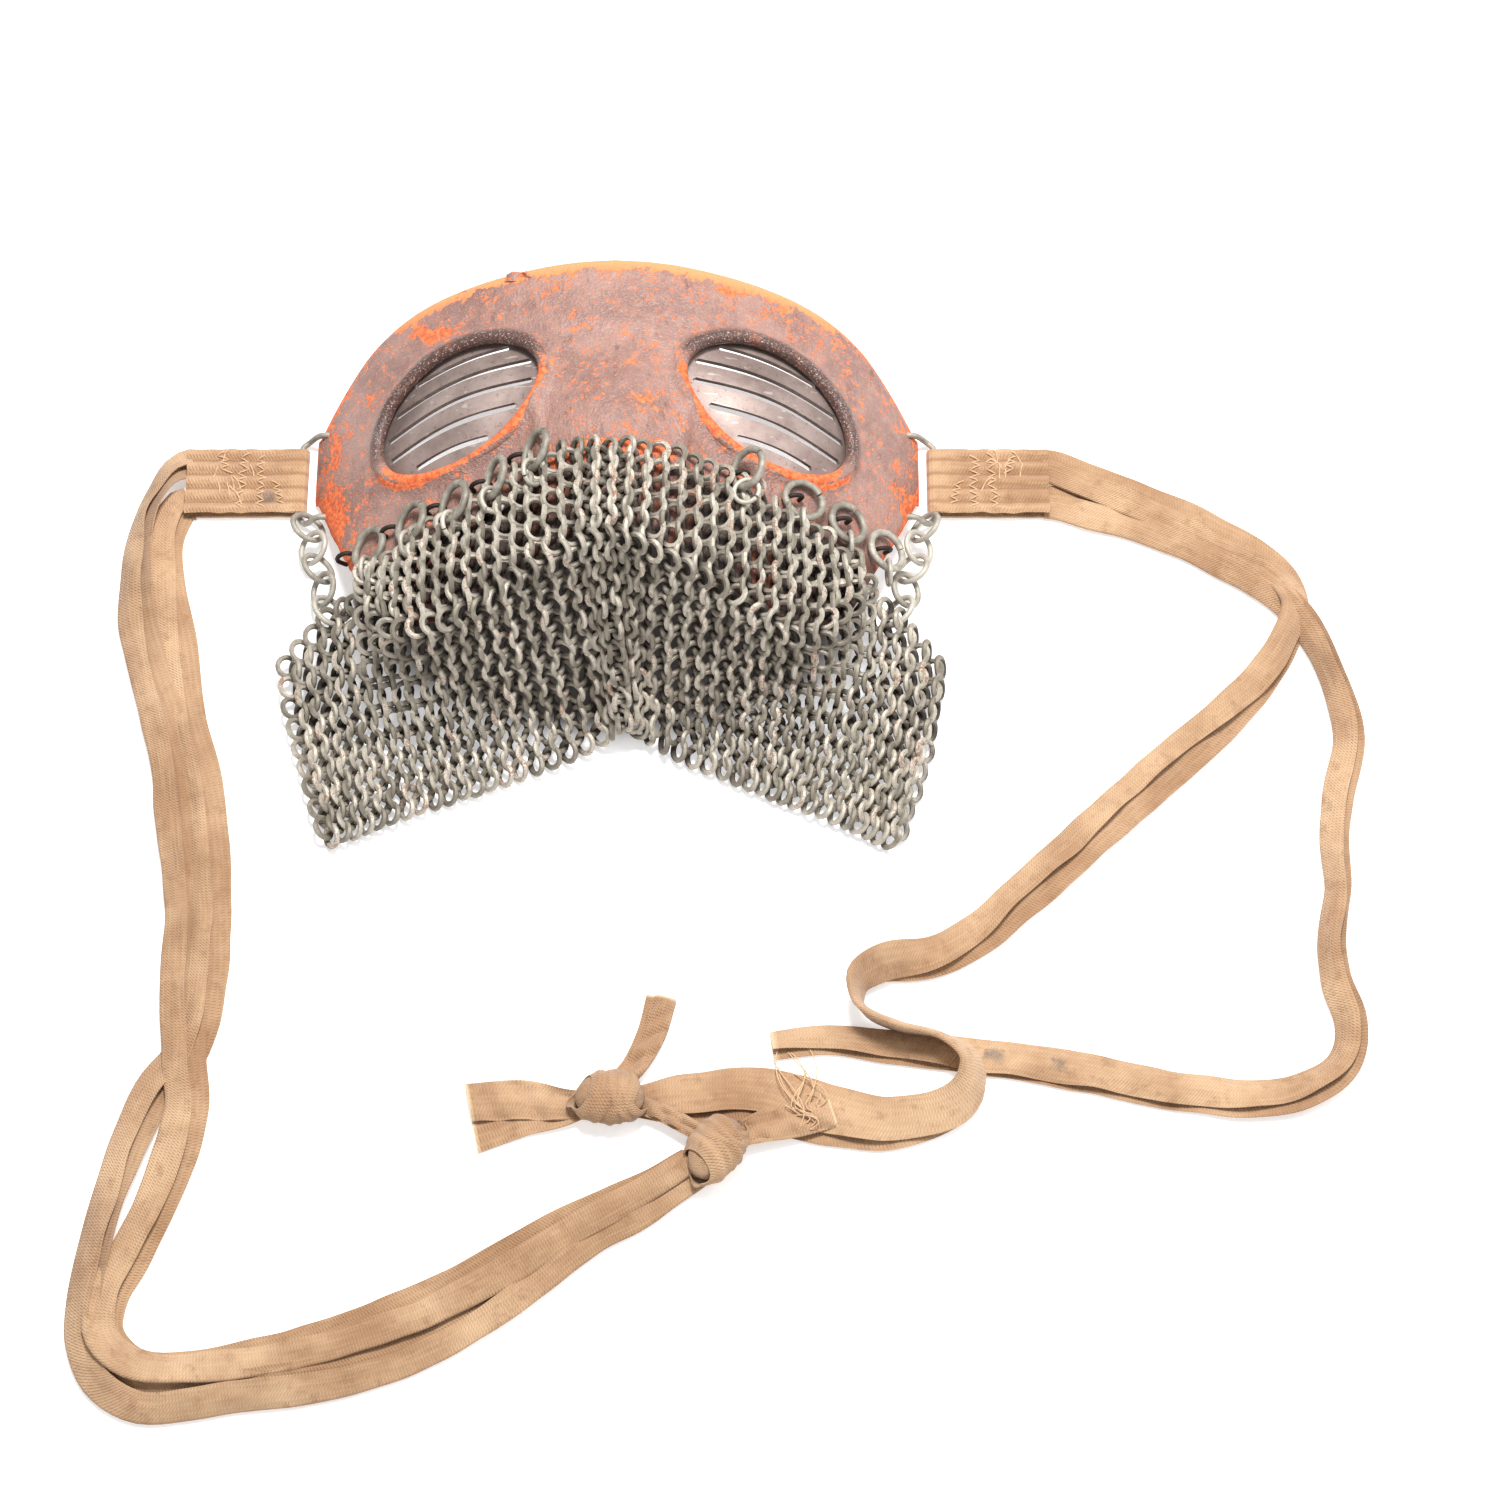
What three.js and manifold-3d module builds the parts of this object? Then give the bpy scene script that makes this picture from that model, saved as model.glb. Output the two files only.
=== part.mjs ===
// Splatter mask: a slotted steel face plate under a leather cover, a curtain of mail hung below
// it on nine split rings, a short chain at each side, and cotton tapes to tie it on with.
// Millimetres. X runs across the face, Y up the face, Z out of it. The mask lies face up on the
// floor at Z = 0, with the middle of the plate and mail at X = Y = 0.

import * as THREE from 'three';
import { mergeVertices } from 'three/addons/utils/BufferGeometryUtils.js';
import Module from 'manifold-3d';

const wasm = await Module();
wasm.setup();

// Face plate
const EAR_LINE_Y = 35.2;
const PLATE_CHORD = 191;
const PLATE_RISE = 50;
const PLATE_TOP = 54.5;
const PLATE_FOOT = 65;
const EDGE_LIFT = 1.2;
const FOREHEAD_DROP = 4.7;
const CHEEK_DROP = 3;
const NOSE_RISE = 12;
const NOSE_SPREAD = 15;
const NOSE_BRIDGE = 27;
const NOSE_RUN = 42;
const STEEL_WALL = 1.4;
const PIECE_GAP = 0.3;
const LEATHER_WALL = 2;
const LEATHER_OVERHANG = 1.5;
const PLATE_COLUMNS = 24;
const PLATE_ROWS = 10;

// Eyes
const EYE_ACROSS = 48.5;
const EYE_UP = 5;
const EYE_LENGTH = 58.5;
const EYE_WIDTH = 40;
const EYE_TILT = 24;
const EYE_BULGE = 3;
const RIM_WIRE = 4.4;
const SLOT_WIDTH = 1.6;
const SLOT_PITCH = 7.6;
const SLOT_RISE = 1.3;
const SLOT_TILT = 11;
const SLOT_BOW = 0.8;

// Strap loops and tapes
const LOOP_WIRE = 2;
const LOOP_SPAN = 30;
const LOOP_REACH = 8;
const LOOP_INSET = 3.5;
const LOOP_TUCK = 8;
const TAPE_WALL = 1.2;
const TAPE_BAND = 23;
const TAPE_BAND_LENGTH = 36;
const TAPE_BAND_WALL = 3;
const TAPE_FOLDED = 13;
const TAPE_NARROW = 11;
const TAPE_STEP = 20;
const KNOT_LONG = 22;
const KNOT_WIDE = 17;
const KNOT_HIGH = 12;

// Mail, rings, staples and side chains
const MAIL_WALL = 4.4;
const MAIL_GAP = 0.8;
const MAIL_EDGE_COLUMN = 20;
const MAIL_LIP_ROW = 9;
const MAIL_HEM_ROW = 24;
const MAIL_LEAN = 4;
const MAIL_FALL = 2.4;
const MAIL_SLANT = 3;
const RING_WIRE = 2.4;
const RING_OUTER = 15;
const RING_HOOK = 5;
const STAPLE_WIRE = 1.6;
const CHAIN_WIRE = 1.9;
const CHAIN_LINKS = 5;
const CHAIN_BITE = 0.5;
const CHAIN_TWIST = 42;
const CHAIN_HOLD_COLUMN = 17;
const CHAIN_HOLD_ROW = 9.3;
const CHAIN_ARM_SHARE = 0.15;
const WIRE_SIDES = 5;
const RING_SIDES = 10;
const LINK_CLEARANCE = 0.4;

// The plate's outline on one side: across is a share of the half chord, top and foot are shares
// of the plate's reach above and below the ear line.
const PLATE_OUTLINE = [
  { across: 0.00, top: 1.000, foot: 0.73 },
  { across: 0.17, top: 0.985, foot: 0.77 },
  { across: 0.36, top: 0.945, foot: 0.89 },
  { across: 0.54, top: 0.892, foot: 1.00 },
  { across: 0.66, top: 0.835, foot: 1.00 },
  { across: 0.76, top: 0.750, foot: 0.88 },
  { across: 0.84, top: 0.640, foot: 0.64 },
  { across: 0.93, top: 0.445, foot: 0.36 },
  { across: 1.00, top: 0.270, foot: 0.10 },
];

// The sight slots of one eye, from the brow down: row counts pitches from the middle slot, shift
// and half are shares of half the eye's length.
const SLOTS = [
  { row: 2, shift: 0.10, half: 0.56 },
  { row: 1, shift: 0.04, half: 0.84 },
  { row: 0, shift: -0.05, half: 0.90 },
  { row: -1, shift: -0.16, half: 0.78 },
  { row: -2, shift: -0.18, half: 0.43 },
];

// One half of the mail curtain, a line for each column of links along which a fold runs.
// At the top and the lip it lies on the plate; then come the fall, the floor and the hem. Across
// is a share of the half chord, down of the plate's reach below the ear line, high of its rise.
const MAIL_FOLDS = [
  { column: 0, topAcross: 0.00, topDown: 0.37, topHigh: 0.00,
    lipAcross: 0.00, lipDown: 0.76, lipHigh: 0.00,
    fallAcross: 0.00, fallDown: 1.00, fallHigh: 0.90, floorAcross: 0.00, floorDown: 1.21, floorHigh: 0.54,
    hemAcross: 0.00, hemDown: 1.38, hemHigh: 0.22 },
  { column: 2.2, topAcross: 0.13, topDown: 0.35, topHigh: 0.00,
    lipAcross: 0.12, lipDown: 0.79, lipHigh: 0.00,
    fallAcross: 0.09, fallDown: 1.02, fallHigh: 0.74, floorAcross: 0.07, floorDown: 1.21, floorHigh: 0.30,
    hemAcross: 0.06, hemDown: 1.39, hemHigh: 0.08 },
  { column: 4, topAcross: 0.24, topDown: 0.35, topHigh: 0.00,
    lipAcross: 0.23, lipDown: 0.84, lipHigh: 0.00,
    fallAcross: 0.20, fallDown: 1.09, fallHigh: 0.66, floorAcross: 0.18, floorDown: 1.29, floorHigh: 0.18,
    hemAcross: 0.16, hemDown: 1.47, hemHigh: 0.05 },
  { column: 8, topAcross: 0.47, topDown: 0.46, topHigh: 0.00,
    lipAcross: 0.47, lipDown: 0.94, lipHigh: 0.00,
    fallAcross: 0.43, fallDown: 1.21, fallHigh: 0.48, floorAcross: 0.41, floorDown: 1.42, floorHigh: 0.10,
    hemAcross: 0.39, hemDown: 1.61, hemHigh: 0.00 },
  { column: 12, topAcross: 0.68, topDown: 0.53, topHigh: 0.00,
    lipAcross: 0.69, lipDown: 0.95, lipHigh: 0.00,
    fallAcross: 0.66, fallDown: 1.22, fallHigh: 0.29, floorAcross: 0.62, floorDown: 1.47, floorHigh: 0.04,
    hemAcross: 0.58, hemDown: 1.72, hemHigh: 0.00 },
  { column: 15.6, topAcross: 0.86, topDown: 0.61, topHigh: 0.40,
    lipAcross: 0.87, lipDown: 0.78, lipHigh: 0.26,
    fallAcross: 0.86, fallDown: 1.12, fallHigh: 0.15, floorAcross: 0.82, floorDown: 1.44, floorHigh: 0.00,
    hemAcross: 0.76, hemDown: 1.83, hemHigh: 0.00 },
  { column: MAIL_EDGE_COLUMN, topAcross: 1.08, topDown: 0.96, topHigh: 0.10,
    lipAcross: 1.10, lipDown: 1.06, lipHigh: 0.06,
    fallAcross: 1.07, fallDown: 1.31, fallHigh: 0.03, floorAcross: 1.02, floorDown: 1.59, floorHigh: 0.00,
    hemAcross: 0.94, hemDown: 1.95, hemHigh: 0.00 },
];
const MAIL_STEPS = [
  { step: 'top', row: 0 },
  { step: 'lip', row: MAIL_LIP_ROW },
  { step: 'fall', row: 14 },
  { step: 'floor', row: 19 },
  { step: 'hem', row: MAIL_HEM_ROW },
];

// Where the split rings stand along the mail's top edge, as shares of the half chord.
const RINGS_LEFT = [0.81, 0.67, 0.53, 0.39, 0.25];
const RINGS_RIGHT = [0.42, 0.60, 0.74, 0.865];

// The tapes' routes, from the ear line's middle, with the height of the tape's middle.
const TAPE_LEFT_UPPER = [
  [-139.5, 7, 1.4], [-143, 6, 2.0], [-148, 0, 2.6], [-153, -12, 2.6], [-155, -28, 2.6], [-153, -52, 2.6],
  [-147, -72, 2.6], [-140, -96, 2.6], [-136, -120, 2.6], [-131, -148, 2.6], [-131, -172, 2.6],
  [-129, -196, 2.6], [-127, -214, 2.6], [-131, -234, 2.6], [-139, -256, 2.6], [-146, -271, 2.6],
  [-147, -283, 2.6], [-139, -292, 2.6], [-125, -294, 2.6], [-99, -290, 2.6], [-74, -283, 2.6],
  [-43, -270, 2.6], [-13, -252, 2.8], [10, -240, 3.4], [25, -231, 4.4],
];
const TAPE_LEFT_LOWER = [
  [-139.5, -7, 0.9], [-143, -9, 0.9], [-146, -20, 0.9], [-145, -36, 0.9], [-141, -55, 0.9], [-136, -84, 0.9],
  [-129, -110, 0.9], [-125, -140, 0.9], [-124, -172, 0.9], [-128, -195, 0.9], [-137, -208, 0.9],
  [-143, -223, 0.9], [-149, -244, 0.9], [-153, -268, 0.9], [-153, -284, 0.9], [-147, -297, 0.9],
  [-134, -304, 0.9], [-107, -301, 0.9], [-82, -297, 0.9], [-56, -288, 0.9], [-30, -273, 0.9],
  [-6, -255, 0.9], [12, -245, 0.9], [27, -234, 1.0],
];
const TAPE_RIGHT_UPPER = [
  [139.5, 7, 1.4], [143, 6.6, 2.0], [152, 2, 2.6], [165, -4, 2.6], [184, -13, 2.6], [202, -24, 2.6],
  [215, -34, 2.6], [219, -45, 2.6], [214, -59, 2.4], [203, -75, 1.2], [190, -88, 0.9],
  [172, -104, 0.9], [157, -118, 0.9], [142, -132, 0.9], [126, -147, 0.9], [112, -159, 0.9],
  [99, -166, 0.9], [86, -168, 0.9], [76, -174, 1.4], [77, -184, 2.4], [88, -190, 2.7],
  [101, -193, 2.7], [110, -200, 2.7], [109, -210, 2.5], [98, -217, 1.2], [83, -219, 0.9],
  [66, -216, 0.9], [47, -211, 0.9], [28, -211, 0.9], [8, -212, 1.0],
];
const TAPE_RIGHT_LOWER = [
  [139.5, -6, 0.9], [144, -6.5, 0.9], [154, -10, 0.9], [170, -15, 0.9], [189, -24, 0.9], [206, -35, 0.9],
  [218, -46, 0.9], [226, -62, 0.9], [231, -78, 0.9], [233, -92, 0.9], [229, -108, 0.9],
  [226, -126, 0.9], [226, -142, 0.9], [223, -158, 0.9], [223, -172, 0.9], [227, -187, 0.9],
  [224, -200, 0.9], [213, -208, 0.9], [198, -211, 0.9], [176, -209, 0.9], [156, -205, 0.9],
  [137, -201, 0.9], [118, -198, 0.9], [100, -196, 0.9], [84, -194, 0.9], [66, -192, 0.9], [50, -194, 0.9],
];
const TAIL_UP = [[3, -207, 4.5], [8, -201, 3.2], [13, -190, 1.4], [16, -178, 1.0]];
const TAIL_FLARED = [[-5, -213, 2.0], [-14, -214, 1.4], [-26, -214, 1.0], [-41, -217, 1.0]];
const TAIL_FRAYED = [[38, -224, 4.5], [48, -220, 3.6], [58, -217, 3.0], [68, -214, 2.8]];
const TAPE_LINK = [[28, -223, 4.6], [18, -217, 3.9], [8, -213, 4.4]];
const KNOT_LEFT_PLACE = [33, -228];
const KNOT_LEFT_TURN = 55;
const KNOT_RIGHT_PLACE = [1, -212];
const KNOT_RIGHT_TURN = 0;

// Sizes that follow
const halfChord = PLATE_CHORD / 2;
const plateRadius = (halfChord ** 2 + PLATE_RISE ** 2) / (2 * PLATE_RISE);
const plateHalfAngle = Math.asin(Math.min(halfChord / plateRadius, 1));
const leatherInner = STEEL_WALL + PIECE_GAP;
const leatherOuter = leatherInner + LEATHER_WALL;
const ringRadius = (RING_OUTER - RING_WIRE) / 2;
const barHeight = TAPE_WALL + PIECE_GAP + LOOP_WIRE / 2;
const barAcross = halfChord + LOOP_REACH;
const radians = THREE.MathUtils.degToRad;

const materials = {
  steel: new THREE.MeshStandardMaterial({ color: 0x8f837e, roughness: 0.42, metalness: 0.9 }),
  leather: new THREE.MeshStandardMaterial({ color: 0x7d5f58, roughness: 0.62, metalness: 0 }),
  wire: new THREE.MeshStandardMaterial({ color: 0x77736a, roughness: 0.5, metalness: 0.85 }),
  mail: new THREE.MeshStandardMaterial({ color: 0x837f74, roughness: 0.5, metalness: 0.85 }),
  tape: new THREE.MeshStandardMaterial({ color: 0xcda57a, roughness: 0.95, metalness: 0 }),
};

// A smooth curve through one named column of a table, read at a place along another.
function readTable(table, along, column, at) {
  const last = table.length - 1;
  const place = THREE.MathUtils.clamp(at, table[0][along], table[last][along]);
  let k = 0;
  while (k < last - 1 && place > table[k + 1][along]) {
    k += 1;
  }
  const slope = (a, b) => (table[b][column] - table[a][column]) / (table[b][along] - table[a][along]);
  const width = table[k + 1][along] - table[k][along];
  const t = (place - table[k][along]) / width;
  const start = slope(Math.max(k - 1, 0), k + 1) * width;
  const end = slope(k, Math.min(k + 2, last)) * width;
  const from = table[k][column];
  const to = table[k + 1][column];
  return from + start * t + (3 * (to - from) - 2 * start - end) * t ** 2
    + (2 * (from - to) + start + end) * t ** 3;
}

// How far a place is from an eye's middle: 1 on the edge of the eye opening.
function eyeReach(x, y, grow = 0) {
  const along = plateRadius * (Math.asin(Math.min(Math.abs(x) / plateRadius, 1))
    - Math.asin(Math.min(EYE_ACROSS / plateRadius, 1)));
  const up = y - EYE_UP;
  const tilt = radians(EYE_TILT);
  const long = (-along * Math.cos(tilt) + up * Math.sin(tilt)) / (EYE_LENGTH / 2 + grow);
  const wide = (along * Math.sin(tilt) + up * Math.cos(tilt)) / (EYE_WIDTH / 2 + grow);
  return Math.hypot(long, wide);
}

// The inside of the steel plate: an arch across the face, with a nose and a bulge at each eye.
function plateHeight(x, y) {
  const arch = Math.sqrt(Math.max(plateRadius ** 2 - x ** 2, 0)) - (plateRadius - PLATE_RISE);
  const drop = y > 0 ? FOREHEAD_DROP * (y / PLATE_TOP) ** 2 : CHEEK_DROP * (y / PLATE_FOOT) ** 2;
  const nose = NOSE_RISE * Math.exp(-((x / NOSE_SPREAD) ** 2) / 2)
    * THREE.MathUtils.smoothstep((NOSE_BRIDGE - y) / NOSE_RUN, 0, 1);
  const bulge = EYE_BULGE * Math.max(1 - eyeReach(x, y) ** 2, 0) ** 2;
  return EDGE_LIFT + arch - drop + nose + bulge;
}

function plateNormal(x, y) {
  const step = 0.5;
  const across = (plateHeight(x + step, y) - plateHeight(x - step, y)) / (2 * step);
  const up = (plateHeight(x, y + step) - plateHeight(x, y - step)) / (2 * step);
  return new THREE.Vector3(-across, -up, 1).normalize();
}

// A point at a height off the plate's inside, measured square to it.
function platePoint(x, y, off) {
  return new THREE.Vector3(x, y, plateHeight(x, y)).addScaledVector(plateNormal(x, y), off);
}

// Axes at a place on the plate: across, up the face, and out of it.
function plateFrame(x, y, off) {
  const out = plateNormal(x, y);
  const across = new THREE.Vector3(1, 0, 0).addScaledVector(out, -out.x).normalize();
  const up = new THREE.Vector3().crossVectors(out, across);
  const place = platePoint(x, y, off);
  return new THREE.Matrix4().makeBasis(across, up, out).setPosition(place);
}

function plateEdge(x, column) {
  return readTable(PLATE_OUTLINE, 'across', column, Math.abs(x) / halfChord);
}

// A closed sheet over a grid of cells, between an inner and an outer point at each crossing.
function sheetGeometry(columns, rows, point, keep = () => true) {
  const positions = [];
  const index = [];
  const seen = new Map();
  const vertex = (i, j, side) => {
    const key = `${i},${j},${side}`;
    if (!seen.has(key)) {
      seen.set(key, positions.length / 3);
      positions.push(...point(i, j, side).toArray());
    }
    return seen.get(key);
  };
  const quad = (a, b, c, d) => index.push(a, b, c, a, c, d);
  const wall = (i1, j1, i2, j2) =>
    quad(vertex(i1, j1, 0), vertex(i2, j2, 0), vertex(i2, j2, 1), vertex(i1, j1, 1));
  const kept = (i, j) => i >= 0 && j >= 0 && i < columns && j < rows && keep(i, j);
  for (let j = 0; j < rows; j += 1) {
    for (let i = 0; i < columns; i += 1) {
      if (!kept(i, j)) {
        continue;
      }
      quad(vertex(i, j, 1), vertex(i + 1, j, 1), vertex(i + 1, j + 1, 1), vertex(i, j + 1, 1));
      quad(vertex(i, j, 0), vertex(i, j + 1, 0), vertex(i + 1, j + 1, 0), vertex(i + 1, j, 0));
      if (!kept(i, j - 1)) wall(i, j, i + 1, j);
      if (!kept(i + 1, j)) wall(i + 1, j, i + 1, j + 1);
      if (!kept(i, j + 1)) wall(i + 1, j + 1, i, j + 1);
      if (!kept(i - 1, j)) wall(i, j + 1, i, j);
    }
  }
  const geometry = new THREE.BufferGeometry();
  geometry.setAttribute('position', new THREE.Float32BufferAttribute(positions, 3));
  geometry.setIndex(index);
  return geometry;
}

function toSolid(geometry, matrix = new THREE.Matrix4()) {
  const bare = geometry.clone().applyMatrix4(matrix);
  bare.deleteAttribute('normal');
  bare.deleteAttribute('uv');
  const merged = mergeVertices(bare, 1e-4);
  return new wasm.Manifold(new wasm.Mesh({
    numProp: 3,
    vertProperties: new Float32Array(merged.attributes.position.array),
    triVerts: new Uint32Array(merged.index.array),
  }));
}

function toGeometry(solid) {
  const mesh = solid.getMesh();
  const geometry = new THREE.BufferGeometry();
  geometry.setAttribute('position', new THREE.Float32BufferAttribute(mesh.vertProperties, 3));
  geometry.setIndex(Array.from(mesh.triVerts));
  geometry.computeVertexNormals();
  return geometry;
}

// Wire swept along a path, with sides flats round it.
function wireGeometry(path, diameter, steps, sides = WIRE_SIDES) {
  const section = new THREE.Shape();
  for (let k = 0; k < sides; k += 1) {
    const turn = (k / sides) * 2 * Math.PI;
    const x = (diameter / 2) * Math.cos(turn);
    const y = (diameter / 2) * Math.sin(turn);
    if (k === 0) section.moveTo(x, y);
    else section.lineTo(x, y);
  }
  section.closePath();
  return new THREE.ExtrudeGeometry(section, { steps, extrudePath: path, bevelEnabled: false });
}

function plateSheet(inner, outer, overhang) {
  const halfAngle = plateHalfAngle + overhang / plateRadius;
  return sheetGeometry(PLATE_COLUMNS, PLATE_ROWS, (i, j, side) => {
    const x = plateRadius * Math.sin(halfAngle * ((2 * i) / PLATE_COLUMNS - 1));
    const top = plateEdge(x, 'top') * PLATE_TOP + overhang;
    const foot = -plateEdge(x, 'foot') * PLATE_FOOT - overhang;
    return platePoint(x, THREE.MathUtils.lerp(foot, top, j / PLATE_ROWS), side ? outer : inner);
  });
}

// A place in one eye, from its middle: along its own length on the plate, and up from that.
function eyePlace(side, along, up, tilt) {
  const middle = plateRadius * Math.asin(Math.min(EYE_ACROSS / plateRadius, 1));
  const turn = radians(tilt);
  const arc = middle - along * Math.cos(turn) + up * Math.sin(turn);
  const y = EYE_UP + along * Math.sin(turn) + up * Math.cos(turn);
  return [side * plateRadius * Math.sin(arc / plateRadius), y];
}

// One sight slot's cutter: a bowed strip with round ends that passes square through the plate.
function slotCutter(side, slot) {
  const half = slot.half * EYE_LENGTH / 2;
  const middle = slot.shift * EYE_LENGTH / 2;
  const steps = 2;
  const depth = 6 * STEEL_WALL;
  return toSolid(sheetGeometry(steps + 2, 1, (i, j, out) => {
    const share = THREE.MathUtils.clamp((i - 1) / steps, 0, 1) * 2 - 1;
    const tip = i === 0 ? -SLOT_WIDTH / 2 : (i === steps + 2 ? SLOT_WIDTH / 2 : 0);
    const width = tip === 0 ? SLOT_WIDTH : SLOT_WIDTH / 2;
    const bow = SLOT_BOW * (1 - share ** 2);
    const up = slot.row * SLOT_PITCH + SLOT_RISE + bow + (0.5 - j) * side * width;
    const [x, y] = eyePlace(side, middle + share * half + tip, up, SLOT_TILT);
    return platePoint(x, y, out ? depth : -depth);
  }));
}

// The strap loop's route: up through the ear, over its edge, along the bar, and back.
function loopPoints(side) {
  const top = LOOP_SPAN / 2;
  const over = leatherOuter + PIECE_GAP + LOOP_WIRE / 2;
  const under = -PIECE_GAP - LOOP_WIRE / 2;
  const corner = LOOP_WIRE;
  const arm = (y) => [
    platePoint(halfChord - LOOP_INSET - LOOP_TUCK, y, under),
    platePoint(halfChord - LOOP_INSET - LOOP_WIRE, y, under),
    platePoint(halfChord - LOOP_INSET + LOOP_WIRE / 2, y, over),
  ];
  const bend = (y, inset) => new THREE.Vector3(barAcross - inset, y, barHeight);
  const points = [
    ...arm(top), bend(top, corner), bend(top - corner, 0), bend(top - 2 * corner, 0),
    bend(2 * corner - top, 0), bend(corner - top, 0), bend(-top, corner), ...arm(-top).reverse(),
  ];
  points.forEach((point) => point.setX(point.x * side));
  return points;
}

function loopGeometry(side, wire) {
  return wireGeometry(new THREE.CatmullRomCurve3(loopPoints(side)), wire, 20);
}

// The least height of the middle of the mail: on the leather, then off its edge to the floor.
function rideHeight(x, y) {
  const off = leatherOuter + MAIL_GAP + MAIL_WALL / 2;
  const edge = -plateEdge(x, 'foot') * PLATE_FOOT - LEATHER_OVERHANG;
  const over = Math.max(y, edge);
  const past = Math.max(edge - y - MAIL_WALL, 0);
  const high = plateHeight(x, over) + off / plateNormal(x, over).z - MAIL_FALL * past;
  return Math.max(high, MAIL_WALL / 2);
}

// How much further up the face the mail's top edge lies on the right than on the left.
function mailSlant(x, row) {
  const away = THREE.MathUtils.smoothstep(Math.abs(x) / halfChord, 0.2, 0.5);
  return Math.sign(x) * MAIL_SLANT * away * (1 - THREE.MathUtils.smoothstep(row, 0, MAIL_LIP_ROW));
}

// The middle of the mail at a column of links, from the middle out, and a row, from the top down.
function mailPoint(column, row) {
  const away = Math.abs(column);
  const steps = MAIL_STEPS.map(({ step, row: at }) => {
    const x = readTable(MAIL_FOLDS, 'column', `${step}Across`, away) * halfChord;
    const slant = mailSlant(Math.sign(column) * x, at);
    const y = slant - readTable(MAIL_FOLDS, 'column', `${step}Down`, away) * PLATE_FOOT;
    const high = readTable(MAIL_FOLDS, 'column', `${step}High`, away) * PLATE_RISE + MAIL_WALL / 2;
    return { row: at, x, y, z: Math.max(high, rideHeight(x, y)) };
  });
  const x = readTable(steps, 'row', 'x', row);
  const y = readTable(steps, 'row', 'y', row);
  const z = Math.max(readTable(steps, 'row', 'z', row), rideHeight(x, y));
  const lean = MAIL_LEAN * THREE.MathUtils.smoothstep(row, MAIL_LIP_ROW, MAIL_HEM_ROW)
    * (1 - THREE.MathUtils.smoothstep(away, 0, MAIL_EDGE_COLUMN));
  return new THREE.Vector3(Math.sign(column) * x + lean, y, z);
}

function mailNormal(column, row) {
  const step = 0.5;
  const across = mailPoint(column + step, row).sub(mailPoint(column - step, row));
  const down = mailPoint(column, row + step).sub(mailPoint(column, row - step));
  return down.cross(across).normalize();
}

// Evenly spaced stops between the ends of each span.
function stops(ends, counts) {
  return ends.slice(1).reduce((list, end, k) => {
    for (let n = 1; n <= counts[k]; n += 1) {
      list.push(THREE.MathUtils.lerp(ends[k], end, n / counts[k]));
    }
    return list;
  }, [ends[0]]);
}

function mailSolid() {
  const flap = 2;
  const below = 10;
  const folds = MAIL_FOLDS.map(({ column }) => column);
  const half = stops(folds, [2, 2, 2, 2, 2, flap]);
  const columns = [...half.slice(1).reverse().map((column) => -column), ...half];
  const rows = stops([MAIL_HEM_ROW, MAIL_LIP_ROW, 0], [below, 5]);
  const place = (i, j, side) => {
    const point = mailPoint(columns[i], rows[j]);
    point.addScaledVector(mailNormal(columns[i], rows[j]), (side - 0.5) * MAIL_WALL);
    return point.setZ(Math.max(point.z, side * MAIL_WALL / 2));
  };
  const keep = (i, j) => j < below || (i >= flap && i < columns.length - 1 - flap);
  const clear = plateSheet(0, leatherOuter + PIECE_GAP, LEATHER_OVERHANG + PIECE_GAP);
  return toSolid(sheetGeometry(columns.length - 1, rows.length - 1, place, keep)).subtract(toSolid(clear));
}

// The mail's top edge at a distance from the middle.
function mailTop(x) {
  const edge = MAIL_FOLDS.map((fold) => ({ across: fold.topAcross, down: fold.topDown }));
  return mailSlant(x, 0) - readTable(edge, 'across', 'down', Math.abs(x) / halfChord) * PLATE_FOOT;
}

// A split ring leans from its staple on the leather to its hold in the mail's top edge.
function ringMatrix(x) {
  const seat = RING_WIRE / 2 + LINK_CLEARANCE;
  const hold = MAIL_GAP + MAIL_WALL / 2;
  const y = mailTop(x) + ringRadius - RING_HOOK;
  const frame = plateFrame(x, y, leatherOuter + (seat + hold) / 2);
  const lean = Math.asin(THREE.MathUtils.clamp((hold - seat) / (2 * ringRadius), -1, 1));
  return frame.multiply(new THREE.Matrix4().makeRotationX(-lean));
}

// A staple straddles the ring's upper wire, with its feet on the leather.
function stapleGeometry(wire = STAPLE_WIRE) {
  const bend = (RING_WIRE + STAPLE_WIRE) / 2 + LINK_CLEARANCE;
  const foot = RING_WIRE / 2 + LINK_CLEARANCE - PIECE_GAP;
  const points = [new THREE.Vector3(0, -bend, -foot)];
  const turns = 4;
  for (let k = 0; k <= turns; k += 1) {
    const turn = (k / turns) * Math.PI;
    points.push(new THREE.Vector3(0, -bend * Math.cos(turn), bend * Math.sin(turn)));
  }
  points.push(new THREE.Vector3(0, bend, -foot));
  const curve = new THREE.CatmullRomCurve3(points);
  return wireGeometry(curve, wire, 6);
}

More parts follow.
